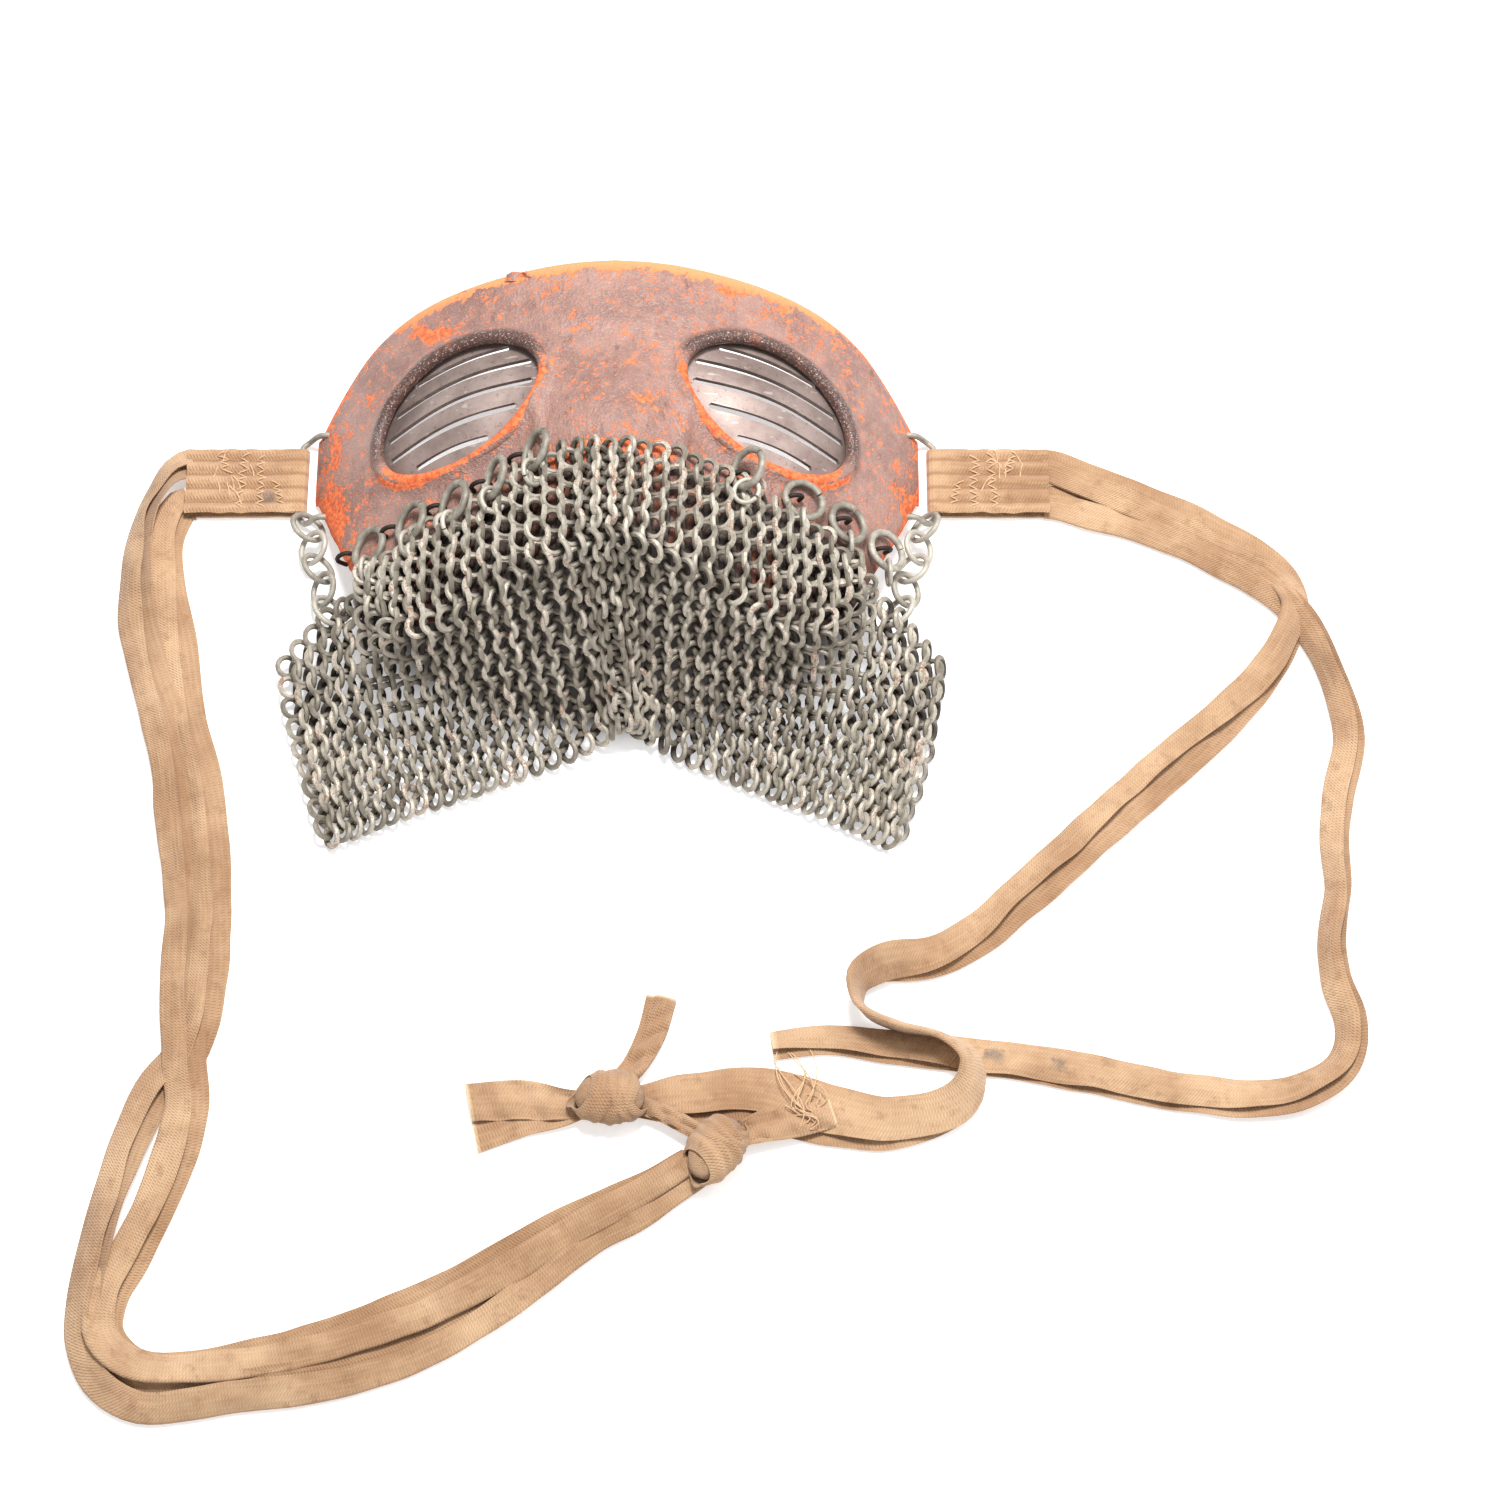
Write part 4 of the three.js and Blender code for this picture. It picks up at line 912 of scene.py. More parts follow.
def steel_plate(finish):
    def place(across, up):
        x, y = plate_sheet(across, up, 0)
        return plate_point(x, y, STEEL_WALL + dents(x, y, 60, 60, 1.0) * 0.0001)

    plate = grid_sheet("steel_plate_slotted", 150, 96, place)
    thicken(plate, STEEL_WALL)
    cutters = join("slots", [slot_cutter(side, *slot) for _, side in SIDES for slot in SLOTS])
    alone(cutters)
    bpy.ops.object.mode_set(mode="EDIT")
    bpy.ops.mesh.select_all(action="SELECT")
    bpy.ops.mesh.normals_make_consistent(inside=False)
    bpy.ops.object.mode_set(mode="OBJECT")
    modify(plate, "BOOLEAN", object=cutters, operation="DIFFERENCE", solver="EXACT")
    bpy.data.objects.remove(cutters)
    smooth(plate, 40)
    return dress(plate, finish, "steel", "steel_plate")


# Wire: rings, staples, chains and strap loops

def wire_finish(name, dark, light, rust_share):
    """Oxidised wire: painted shade, with some grime, darkens what lies deep."""
    metal = Finish(name)
    here = metal.place()
    tone = metal.attribute("tone")
    cloud = metal.noise(here, 260, 4, 0.6)
    pits = metal.noise(here, 1600, 3, 0.65)
    colour = metal.mix((cloud * 0.7 + tone * 0.5).ramp(0.35, 0.85), dark, light)
    colour = metal.mix(pits.ramp(0.60, 0.72) * 0.45, colour, srgb(60, 54, 47))
    rust = (cloud * 0.5 + pits * 0.4 + tone * rust_share).ramp(0.66, 0.78)
    colour = metal.mix(rust * 0.8, colour, srgb(132, 84, 60))
    # Painted shade: the low side of each mail ring goes near black, with some grime.
    grime_and_shade = metal.attribute("deep").ramp(0.36, 0.74)
    colour = metal.mix(grime_and_shade * 0.93, colour, srgb(50, 42, 35))
    normal = metal.bump(pits + cloud * 0.4, 0.00010, 0.6)
    return metal.surface(metal.node("ShaderNodeBsdfPrincipled", {}, {
        "Base Color": colour, "Metallic": 0.42 - rust * 0.3 - grime_and_shade * 0.3,
        "Roughness": 0.54 + pits * 0.2 + rust * 0.2 + grime_and_shade * 0.2, "Normal": normal,
    }))


def torus(name, matrix, radius, width, turns=40, sides=10):
    bpy.ops.mesh.primitive_torus_add(major_radius=radius, minor_radius=width / 2,
                                     major_segments=turns, minor_segments=sides)
    ring = bpy.context.object
    ring.name = name
    ring.data.transform(matrix)
    ring.data.transform(Matrix.Translation((0, EAR_LINE, 0)))
    return ring


def split_ring_frame(x, turn):
    """A ring stands on its left side on the leather, and its foot reaches into the mail."""
    seat = RING_WIRE / 2 + LINK_CLEARANCE
    hold = MAIL_GAP + MAIL_WALL / 2
    y = float(mail_edge(x)) + RING_RADIUS - RING_HOOK + RING_RISE
    lean = math.asin((hold - seat) / (2 * RING_RADIUS)) * math.cos(turn)
    off = (seat + hold) / 2 + RING_RADIUS * math.sin(turn)
    shift = RING_SHIFT if x < 0 else 0
    x = x + plate_normal(np.array(x), np.array(y))[0] * -RING_RADIUS * math.sin(turn) + shift
    here = plate_frame(x, y, LEATHER_OUTER + off)
    return here @ Matrix.Rotation(-turn, 4, "Y") @ Matrix.Rotation(-lean, 4, "X")


def bent_ring(name, matrix, outer, width, start):
    """Wire bent round to a ring, with a small gap between its cut ends."""
    gap = math.radians(random.uniform(5, 9))
    radius = (outer - width) / 2
    turns = np.linspace(start + gap / 2, start + 2 * math.pi - gap / 2, 56)
    points = [matrix @ Vector((radius * math.cos(turn), radius * math.sin(turn), 0)) for turn in turns]
    return wire(name, points, width, sides=12)


def split_ring(name, x, turn, finish):
    """A large ring and the small link that ties it to the mail."""
    matrix = split_ring_frame(x, turn)
    cut = math.radians(random.uniform(15, 75))
    ring = bent_ring(f"split_ring_{name}", matrix, RING_OUTER, RING_WIRE, cut)
    drop = (LINK_OUTER - LINK_WIRE) / 2 - (RING_WIRE + LINK_WIRE) / 2 - LINK_CLEARANCE
    foot = Matrix.Translation((0, -RING_RADIUS - drop, 0))
    swing = Matrix.Rotation(math.radians(62 if x > 0 else 118) - turn * 0.5, 4, "Y")
    cut = math.radians(random.uniform(200, 340))
    link = bent_ring("link", matrix @ foot @ swing, LINK_OUTER, LINK_WIRE, cut)
    mark(ring, "tone", random.uniform(0.2, 0.5))
    mark(link, "tone", random.uniform(0.5, 0.9))
    whole = join(f"split_ring_{name}", [ring, link])
    mark(whole, "deep", 0.0)
    smooth(whole)
    return dress(whole, finish, "wire", f"ring_{name}")


def staple(name, x, turn, finish):
    """A dark wire staple over the ring's left side, with its legs down into the leather."""
    matrix = split_ring_frame(x, turn)
    held = matrix @ Vector((-RING_RADIUS, 0.0008, 0))
    seat = plate_frame(held.x, held.y, LEATHER_OUTER) @ Matrix.Rotation(math.radians(12), 4, "Z")
    leg = RING_WIRE / 2 + STAPLE_WIRE / 2 + LINK_CLEARANCE
    top = (seat.inverted() @ held).z + RING_WIRE / 2 + STAPLE_WIRE / 2
    points = [Vector((-leg * 1.2, 0, -0.0012)), Vector((-leg * 1.2, 0, 0.0004))]
    for k in range(9):
        bend = k / 8 * math.pi
        points.append(Vector((-leg * 1.2 * math.cos(bend), 0, max(top - leg, 0.0006) + leg * math.sin(bend))))
    points += [Vector((leg * 1.2, 0, 0.0004)), Vector((leg * 1.3, 0, -0.0012))]
    piece = wire(f"staple_wire_{name}", [seat @ point for point in points], STAPLE_WIRE)
    marks(piece, tone=0.0, deep=0.0)
    smooth(piece)
    return dress(piece, finish, "wire", f"staple_{name}")


def loop_points(side):
    """The strap loop's route: up through the ear, over its edge, along the bar, and back."""
    top = LOOP_SPAN / 2
    over = LEATHER_OUTER + PIECE_GAP + LOOP_WIRE / 2
    under = -PIECE_GAP - LOOP_WIRE / 2
    corner = LOOP_WIRE

    def arm(y):
        return [
            plate_point(HALF_CHORD - LOOP_INSET - LOOP_TUCK, y, under),
            plate_point(HALF_CHORD - LOOP_INSET - LOOP_WIRE, y, under),
            plate_point(HALF_CHORD - LOOP_INSET + LOOP_WIRE / 2, y, over),
        ]

    def bend(y, inset):
        return np.array([BAR_ACROSS - inset, y, BAR_HEIGHT])

    points = [
        *arm(top), bend(top, corner), bend(top - corner, 0), bend(top - 2 * corner, 0),
        bend(2 * corner - top, 0), bend(corner - top, 0), bend(-top, corner), *reversed(arm(-top)),
    ]
    return [point * (side, 1, 1) for point in points]


def strap_loop(name, side, finish):
    line, _, _ = smooth_line(loop_points(side), 90)
    piece = wire(f"loop_wire_{name}", line, LOOP_WIRE, sides=12)
    marks(piece, tone=0.35, deep=0.0)
    smooth(piece)
    return dress(piece, finish, "wire", f"strap_loop_{name}")


def side_chain(name, side, finish):
    """Five linked rings from the strap loop's lower arm to the shoulder of the mail."""
    points = loop_points(side)
    arm = Vector(points[-4]).lerp(Vector(points[-3]), CHAIN_ARM_SHARE)
    hold = Vector(mail_point(side * CHAIN_HOLD_COLUMN, CHAIN_HOLD_ROW))
    run = (hold.xy - arm.xy).length
    ends = 2 * (CHAIN_WIRE / 2 + LOOP_WIRE / 2 + LINK_CLEARANCE)
    bearing = CHAIN_WIRE - CHAIN_BITE
    radius = (run + ends + (CHAIN_LINKS - 1) * bearing) / (2 * CHAIN_LINKS)
    pitch = 2 * radius - bearing
    clear = radius * math.sin(CHAIN_TWIST) + CHAIN_WIRE / 2 + PIECE_GAP
    arm.z = max(arm.z, clear)
    hold.z = max(hold.z, clear)
    along = (hold - arm).normalized()
    linked = radius + CHAIN_BITE / 2
    links = []
    for k in range(CHAIN_LINKS):
        middle = arm + along * (radius - ends / 2 + k * pitch)
        turn = side * (-CHAIN_TWIST if k % 2 else CHAIN_TWIST) * (1 + 0.12 * math.sin(5 * k + side))
        across = Matrix.Rotation(turn, 3, along) @ Vector((0, 0, 1)).cross(along).normalized()
        matrix = Matrix((along, across, along.cross(across))).transposed().to_4x4()
        matrix.translation = middle
        link = torus("link", matrix, linked, CHAIN_WIRE, 44, 12)
        mark(link, "tone", random.uniform(0.3, 0.9))
        links.append(link)
    chain = join(f"chain_{name}", links)
    mark(chain, "deep", 0.0)
    smooth(chain)
    return dress(chain, finish, "wire", f"side_chain_{name}")


# Mail

MAIL_RING_TURNS = 16
MAIL_RING_SIDES = 6
FIRST_ROWS = [0.0, 0.0, 0.0, 0.0, 1.5, 5.5, 9.0]


def mail_places(side):
    """Column and row of each link on one side of the middle: odd rows stand half a column over."""
    above, below = LINK_ROWS
    places = []
    for link_row in range(above + below + 1):
        row = link_row * MAIL_LIP_ROW / above
        if link_row > above:
            row = MAIL_LIP_ROW + (link_row - above) * (MAIL_HEM_ROW - MAIL_LIP_ROW) / below
        edge = MAIL_EDGE_COLUMN if link_row >= above else MAIL_SHOULDER_COLUMN
        reach = int(edge / LINK_PITCH) + 1
        for step in range(-reach, reach + 1):
            column = (step + (0.5 if link_row % 2 else 0.0)) * LINK_PITCH
            first = read_table(FOLD_COLUMNS, FIRST_ROWS, abs(column))
            mine = column < 0 if side < 0 else column >= 0
            if mine and abs(column) <= edge and row >= first - 0.01:
                places.append((column, row, link_row % 2))
    return np.array(places, float)


def even_rows(column, row):
    """Moves the rows in each column so that they stand evenly apart above the lip, and below it."""
    spaced = row.copy()
    for one in np.unique(column):
        for low, high in ((0, MAIL_LIP_ROW), (MAIL_LIP_ROW, MAIL_HEM_ROW)):
            fine = np.linspace(low, high, 60)
            points = mail_point(np.full(60, one), fine)
            run = np.concatenate([[0], np.cumsum(np.linalg.norm(np.diff(points, axis=0), axis=1))])
            mine = (column == one) & (row >= low) & (row <= high)
            spaced[mine] = np.interp((row[mine] - low) / (high - low) * run[-1], run, fine)
    return spaced


def mail_half(name, side, finish):
    """Butted rings, each leaning the other way from those in the rows beside it."""
    places = mail_places(side)
    column, odd = places[:, 0], places[:, 2] > 0
    row = even_rows(column, places[:, 1])
    middle = mail_point(column, row)
    across, down, out = mail_axes(column, row)
    draw = np.random.RandomState(40 + side)
    count = len(places)
    lean = np.where(odd, -MAIL_TILT, MAIL_TILT) + draw.normal(0, math.radians(4.5), count)
    pitch = draw.normal(0, math.radians(6), count)
    wide = across * np.cos(lean)[:, None] + out * np.sin(lean)[:, None]
    tall = down * np.cos(pitch)[:, None] + out * np.sin(pitch)[:, None]
    flat = np.cross(wide, tall)
    flat /= np.linalg.norm(flat, axis=1, keepdims=True)
    middle = middle + draw.normal(0, 0.00014, (count, 3))

    bpy.ops.mesh.primitive_torus_add(major_radius=(MAIL_RING - MAIL_WIRE) / 2, minor_radius=MAIL_WIRE / 2,
                                     major_segments=MAIL_RING_TURNS, minor_segments=MAIL_RING_SIDES)
    model = bpy.context.object
    shape = points_of(model)
    corners = np.array([face.vertices for face in model.data.polygons])
    rings = (middle[:, None, :] + shape[None, :, 0:1] * wide[:, None, :]
             + shape[None, :, 1:2] * tall[:, None, :] + shape[None, :, 2:3] * flat[:, None, :])
    lowest = rings[:, :, 2].min(axis=1)
    rings[:, :, 2] += np.maximum(0.0001 - lowest, 0)[:, None]
    faces = corners[None] + (np.arange(count) * len(shape))[:, None, None]
    mesh = bpy.data.meshes.new(name)
    mesh.from_pydata(rings.reshape(-1, 3).tolist(), [], faces.reshape(-1, 4).tolist())
    piece = bpy.data.objects.new(name, mesh)
    bpy.context.collection.objects.link(piece)
    put_points(piece, rings.reshape(-1, 3))
    bpy.data.objects.remove(model)
    tone = draw.uniform(0, 1, count) * 0.8
    # Painted shade: how far below the mail's middle each point lies, which the finish darkens.
    depth = np.einsum("ijk,ik->ij", rings - middle[:, None, :], out)
    mark(piece, "deep", np.clip(0.5 - depth / (MAIL_RING * math.sin(MAIL_TILT)), 0, 1).ravel())
    rusty = np.exp(-((column - 3) / 6) ** 2 - ((row - 4) / 4) ** 2) * draw.uniform(0, 1, count)
    mark(piece, "tone", np.repeat(np.clip(tone + rusty * 0.5, 0, 1.3), len(shape)))
    smooth(piece)
    return dress(piece, finish, "mail", "mail_curtain")


# Tapes

def tape_finish():
    tape = Finish("soiled cotton twill tape")
    weave_place = tape.node("ShaderNodeUVMap", {"uv_map": "UVMap"}, {})
    here = tape.place()
    soil_and_shade = tape.attribute("soil_and_shade")
    smudge = tape.attribute("smudge")
    turned = tape.stretched(weave_place, (1, 1, 1), (0, 0, math.radians(58)))
    twill = tape.node("ShaderNodeTexWave", {"wave_type": "BANDS", "bands_direction": "X"}, {
        "Vector": turned, "Scale": 380.0, "Distortion": 0.8, "Detail": 1.0, "Detail Scale": 900.0,
    })
    yarn = tape.node("ShaderNodeTexWave", {"wave_type": "BANDS", "bands_direction": "Y"}, {
        "Vector": weave_place, "Scale": 330.0, "Distortion": 0.4, "Detail": 1.0, "Detail Scale": 900.0,
    })
    streaks = tape.noise(tape.stretched(weave_place, (1.0, 0.06, 1.0)), 900, 3, 0.6)
    cloud = tape.noise(here, 34, 4, 0.6)
    spots = tape.noise(here, 190, 4, 0.65)
    colour = tape.mix(cloud.ramp(0.30, 0.72), srgb(174, 134, 100), srgb(218, 181, 143))
    colour = tape.mix(streaks.ramp(0.45, 0.8) * 0.4, colour, srgb(222, 188, 150))
    colour = tape.mix(spots.ramp(0.52, 0.72) * 0.50, colour, srgb(154, 114, 82))
    colour = tape.mix(twill.ramp(0.2, 0.9) * 0.16, colour, srgb(134, 98, 70))
    # Soil near the knots, with painted shade on the lower leaves and in the band's valleys, and darker fold
    # lines.
    colour = tape.mix(soil_and_shade * 0.85, colour, srgb(146, 104, 72))
    colour = tape.mix(tape.attribute("cut"), colour, srgb(232, 204, 166))
    # The grey smudges on the tape are grime alone.
    grime_and_shade = (smudge + (spots - 0.5) * 1.6).ramp(0.45, 1.0)
    colour = tape.mix(grime_and_shade * smudge.ramp(0.05, 0.5) * 0.75, colour, srgb(122, 112, 104))
    normal = tape.bump(twill * 0.5 + yarn * 0.4 + streaks * 0.8 + spots * 1.3, 0.00040, 0.9)
    return tape.surface(tape.node("ShaderNodeBsdfPrincipled", {}, {
        "Base Color": colour, "Roughness": 0.93, "Normal": normal,
        "Sheen Weight": 0.25, "Sheen Roughness": 0.5, "Specular IOR Level": 0.2,
    }))


def thread_finish():
    thread = Finish("pale cotton thread")
    here = thread.place()
    twist = thread.noise(here, 2600, 2, 0.5)
    colour = thread.mix(twist, srgb(184, 146, 110), srgb(232, 200, 164))
    return thread.surface(thread.node("ShaderNodeBsdfPrincipled", {}, {
        "Base Color": colour, "Roughness": 0.9, "Normal": thread.bump(twist, 0.00015, 0.6),
    }))


# Grey smudges on the tapes, from the ear line's middle, with a half width
SMUDGES = [
    ((-0.1135, -0.006, 0.003), 0.0035), ((0.118, -0.198, 0.001), 0.005), ((0.137, -0.200, 0.001), 0.004),
]


def mark_tape(piece, extra_shade_and_soil, cut=0.0):
    """Soil near the knots, plus the painted shade and soil that the caller passes in for folds, leaves and
    valleys, then the grey smudges and the cut ends.
    """
    points = points_of(piece) - (0, EAR_LINE, 0)
    near = np.zeros(len(points))
    for place in (KNOT_LEFT_PLACE, KNOT_RIGHT_PLACE):
        away = np.linalg.norm(points[:, :2] - place, axis=1)
        near = np.maximum(near, 1 - smooth_step(away, 0.010, 0.075))
    smudge = np.zeros(len(points))
    for place, half in SMUDGES:
        smudge = np.maximum(smudge, np.exp(-np.sum(((points - place) / half) ** 2, axis=1)))
    # Soil near the knots, plus the painted shade and soil passed in.
    mark(piece, "soil_and_shade", np.clip(near * 0.18 + extra_shade_and_soil, 0, 1))
    mark(piece, "smudge", smudge)
    mark(piece, "cut", cut)


def metre_map(piece, width, length):
    """The grid's own map, drawn out to the cloth's flat size."""
    layer = piece.data.uv_layers.active
    layer.name = "UVMap"
    flat = np.empty(len(layer.data) * 2)
    layer.data.foreach_get("uv", flat)
    flat = flat.reshape(-1, 2) * (width, length)
    layer.data.foreach_set("uv", flat.ravel())


def folded_section(open_share, wide, cover):
    """A tape folded lengthwise: across the fold and above its middle, for shares of the flat tape.

    cover is how much of the lower leaf the upper one covers."""
    turn = 0.06
    lower = np.clip(open_share / (0.5 - turn), 0, 1)
    bend = np.clip((open_share - (0.5 - turn)) / (2 * turn), 0, 1)
    upper = np.clip((open_share - (0.5 + turn)) / (0.5 - turn), 0, 1)
    rise = TAPE_WALL - TAPE_CLOTH
    across = np.where(
        open_share < 0.5 - turn, (lower - 0.5) * wide,
        np.where(open_share <= 0.5 + turn, 0.5 * wide + 0.25 * rise * np.sin(math.pi * bend),
                 0.5 * wide - upper * wide * cover))
    high = np.where(
        open_share < 0.5 - turn, -rise / 2,
        np.where(open_share <= 0.5 + turn, -rise / 2 * np.cos(math.pi * bend), rise / 2))
    return across, high, upper


def route_axes(line):
    """Unit vectors along a route, and to its right on the level."""
    tangent = np.gradient(line, axis=0)
    tangent /= np.linalg.norm(tangent, axis=1, keepdims=True)
    right = np.stack([tangent[:, 1], -tangent[:, 0], np.zeros(len(line))], axis=1)
    right /= np.linalg.norm(right, axis=1, keepdims=True)
    return tangent, right


def tape_leg(name, route, lay, seed, columns=26):
    """A long tape, folded lengthwise, laid along its route.

    lay has a line for each of a few shares of the length: width, turn on edge in degrees, cover."""
    rows = max(int(len(route) * 7), 24)
    line, shares, length = smooth_line(route, rows + 1)
    lay = np.array(lay, float)
    wide, turn, cover = (read_table(lay[:, 0], lay[:, k], shares) for k in (1, 2, 3))
    turn = np.radians(turn)
    wide = wide * (1 + 0.06 * ripple(shares * length, 55, seed))
    cover = np.clip(cover + 0.10 * ripple(shares * length, 38, seed + 1), 0.3, 0.98)
    lift = 0.0005 * (1 + ripple(shares * length, 45, seed + 2))
    tangent, right = route_axes(line)
    up = np.cross(right, tangent)
    edge_on = right * np.cos(turn)[:, None] + up * np.sin(turn)[:, None]
    face_on = up * np.cos(turn)[:, None] - right * np.sin(turn)[:, None]
    clear = np.abs(np.sin(turn)) * wide / 2 + 0.0004
    middle = line.copy()
    blend = np.hanning(15) / np.hanning(15).sum()
    raised = np.pad(np.maximum(middle[:, 2], clear), 7, mode="edge")
    middle[:, 2] = np.maximum(np.convolve(raised, blend, mode="valid"), clear + 0.0009)

    def place(across, up_share):
        k = np.rint(up_share * rows).astype(int)
        side, high, upper = folded_section(across, wide[k], cover[k])
        crown = 0.0009 * (1 - (2 * side / wide[k]) ** 2) * (upper > 0)
        crown = crown + 0.0007 * upper * np.sin(shares[k] * length * 260 + seed) * (upper > 0.6)
        folds = ripple(across * 2.2 + shares[k] * length * 14, 1.0, seed + 5)
        folds = folds * ripple(shares[k] * length, 30, seed + 6)
        crown = crown + 0.0028 * np.abs(folds) * np.sin(math.pi * np.clip(upper, 0, 1))
        high = high + crown + lift[k] * upper ** 2
        sway = 0.0004 * ripple(shares[k] * length, 90, seed + 3)
        return middle[k] + edge_on[k] * (side + sway)[:, None] + face_on[k] * high[:, None]

    tape = grid_sheet(f"{name}_cloth", columns, rows, place)
    metre_map(tape, TAPE_FLAT, length)
    # Darker along the fold line.
    crease = np.exp(-((grid_shares(columns, rows)[0] - 0.5) / 0.05) ** 2) * 0.25
    # Painted shade on the lower leaf, beside the upper leaf's edge.
    under = (grid_shares(columns, rows)[0] < 0.4) * 0.30
    cut = (grid_shares(columns, rows)[1] > 0.996) * (1.0 if name == "tape_right_lower" else 0.0)
    mark_tape(tape, crease + under, cut)
    thicken(tape, TAPE_CLOTH, 0.0)
    smooth(tape, 70)
    return tape, middle + (0, EAR_LINE, 0)


LAY_LEFT_UPPER = [
    (0.00, 0.0120, 0, 0.60), (0.03, 0.0100, -40, 0.70), (0.08, 0.0115, -35, 0.80), (0.16, 0.0130, -8, 0.62),
    (0.35, 0.0135, 0, 0.55), (0.55, 0.0125, 10, 0.68), (0.66, 0.0115, 28, 0.80), (0.72, 0.0125, 12, 0.70),
    (0.88, 0.0135, 0, 0.60), (1.00, 0.0080, 0, 0.90),
]
LAY_LEFT_LOWER = [
    (0.00, 0.0120, 0, 0.60), (0.05, 0.0110, 14, 0.75), (0.12, 0.0130, 0, 0.55), (0.40, 0.0130, 0, 0.60),
    (0.52, 0.0110, -25, 0.85), (0.62, 0.0120, -12, 0.72), (0.70, 0.0120, -20, 0.75), (0.80, 0.0135, 0, 0.55),
    (1.00, 0.0090, 0, 0.85),
]
LAY_RIGHT_UPPER = [
    (0.00, 0.0120, 0, 0.60), (0.05, 0.0125, 0, 0.62), (0.16, 0.0135, 0, 0.50), (0.22, 0.0105, 30, 0.85),
    (0.27, 0.0110, 20, 0.80), (0.36, 0.0145, 0, 0.52), (0.52, 0.0135, 0, 0.60), (0.60, 0.0125, 20, 0.80),
    (0.64, 0.0130, 62, 0.95), (0.69, 0.0130, 78, 0.95), (0.75, 0.0130, 60, 0.95), (0.80, 0.0135, 24, 0.92),
    (0.85, 0.0175, 6, 0.80), (0.92, 0.0195, 0, 0.72), (0.97, 0.0150, 0, 0.80), (1.00, 0.0090, 0, 0.90),
]
LAY_RIGHT_LOWER = [
    (0.00, 0.0120, 0, 0.60), (0.06, 0.0115, 0, 0.70), (0.20, 0.0100, -25, 0.85), (0.26, 0.0090, -42, 0.92),
    (0.34, 0.0100, -18, 0.80), (0.44, 0.0090, -38, 0.90), (0.55, 0.0100, -28, 0.85),
    (0.62, 0.0115, -12, 0.75),
    (0.72, 0.0120, 0, 0.85), (0.86, 0.0110, 0, 0.90), (1.00, 0.0085, 0, 0.70),
]


def tape_tail(name, route, wide, cover, seed, columns=24):
    """A short loose end: width is given at the knot, the middle and the cut."""
    rows = 30
    line, shares, length = smooth_line(route, rows + 1)
    width = read_table([0, 0.5, 1], wide, shares)
    covered = read_table([0, 0.5, 1], cover, shares)
    _, right = route_axes(line)

    def place(across, up):
        k = np.rint(up * rows).astype(int)
        side, high, upper = folded_section(across, width[k], covered[k])
        gather = 0.0016 * (1 - shares[k]) * np.abs(np.sin(across * 11 + seed))
        puff = 0.0016 * smooth_step(shares[k], 0.3, 1.0) * np.sin(math.pi * np.clip(upper, 0, 1))
        sag = 0.0016 * ripple(across * 3 + shares[k] * 7, 1.0, seed)
        point = line[k] + right[k] * side[:, None]
        point[:, 2] += high + gather + puff + sag * (upper > 0)
        point[:, 2] = np.maximum(point[:, 2], 0.0004)
        return point

    tail = grid_sheet(f"{name}_cloth", columns, rows, place)
    metre_map(tail, TAPE_FLAT, length)
    mark_tape(tail, 0.0, grid_shares(columns, rows)[1] > 0.97)
    thicken(tail, TAPE_CLOTH, 0.0)
    smooth(tail, 70)
    return tail


def knot(name, place, turn, finish, seed):
    """An overhand knot pulled tight: a gathered core with two turns of tape round it."""
    bpy.ops.mesh.primitive_uv_sphere_add(segments=48, ring_count=28, radius=0.5)
    core = bpy.context.object
    core.data.transform(Matrix.Rotation(math.radians(90), 4, "Y"))
    ball = points_of(core)
    round_it = np.arctan2(ball[:, 2], ball[:, 1])
    pleats = 1 + 0.05 * np.sin(round_it * 5 + ball[:, 0] * 9 + seed) + 0.02 * np.sin(round_it * 13 + seed)
    barrel = np.stack([ball[:, 0], ball[:, 1] * pleats, ball[:, 2] * pleats], axis=1)
    matrix = np.array(Matrix.Rotation(turn, 3, "Z"))
    size = np.array([KNOT_LONG * 0.96, KNOT_WIDE * 0.86, KNOT_HIGH * 0.86])
    offset = np.array([*place, KNOT_HIGH / 2 + 2 * PIECE_GAP])
    put_points(core, (barrel * size) @ matrix.T + offset)
    metre_map(core, TAPE_FLAT * 2, KNOT_LONG * 2)
    pieces = [core]
    for slope, shift, wide in ((0.46, -0.0050, 0.0085), (0.34, 0.0026, 0.0070), (-0.38, 0.0050, 0.0075)):
        pieces.append(knot_turn(matrix, offset, slope, shift, wide, seed))
    whole = join(f"{name}_cloth", pieces)
    mark_tape(whole, 0.04)
    smooth(whole, 70)
    return dress(whole, finish, "tape", name)


def knot_turn(matrix, offset, slope, shift, wide, seed):
    """One turn of tape round a knot, on the slant, with pleats along it."""
    def put(across, up):
        turn = 2 * math.pi * up
        along = shift + (across - 0.5) * wide + slope * 0.5 * KNOT_WIDE * np.sin(turn + 0.6)
        girth = np.sqrt(np.clip(1 - (along / (KNOT_LONG * 0.56)) ** 2, 0.12, 1))
        fat = 0.0007 * (1 - (2 * across - 1) ** 4) + 0.00025 * np.sin(across * 13 + 2 * np.sin(turn) + seed)
        y = (KNOT_WIDE * 0.45 * girth + fat) * np.cos(turn)
        z = (KNOT_HIGH * 0.44 * girth + fat) * np.sin(turn)
        return np.stack([along, y, z], axis=1) @ matrix.T + offset

    band = grid_sheet("turn", 18, 72, put)
    metre_map(band, TAPE_FLAT * 0.5, 0.045)
    thicken(band, TAPE_CLOTH, 0.0)
    return band


# How far the sewn band runs on over the legs
BAND_TUCK = 0.0014
STITCH_THREAD = 0.0005


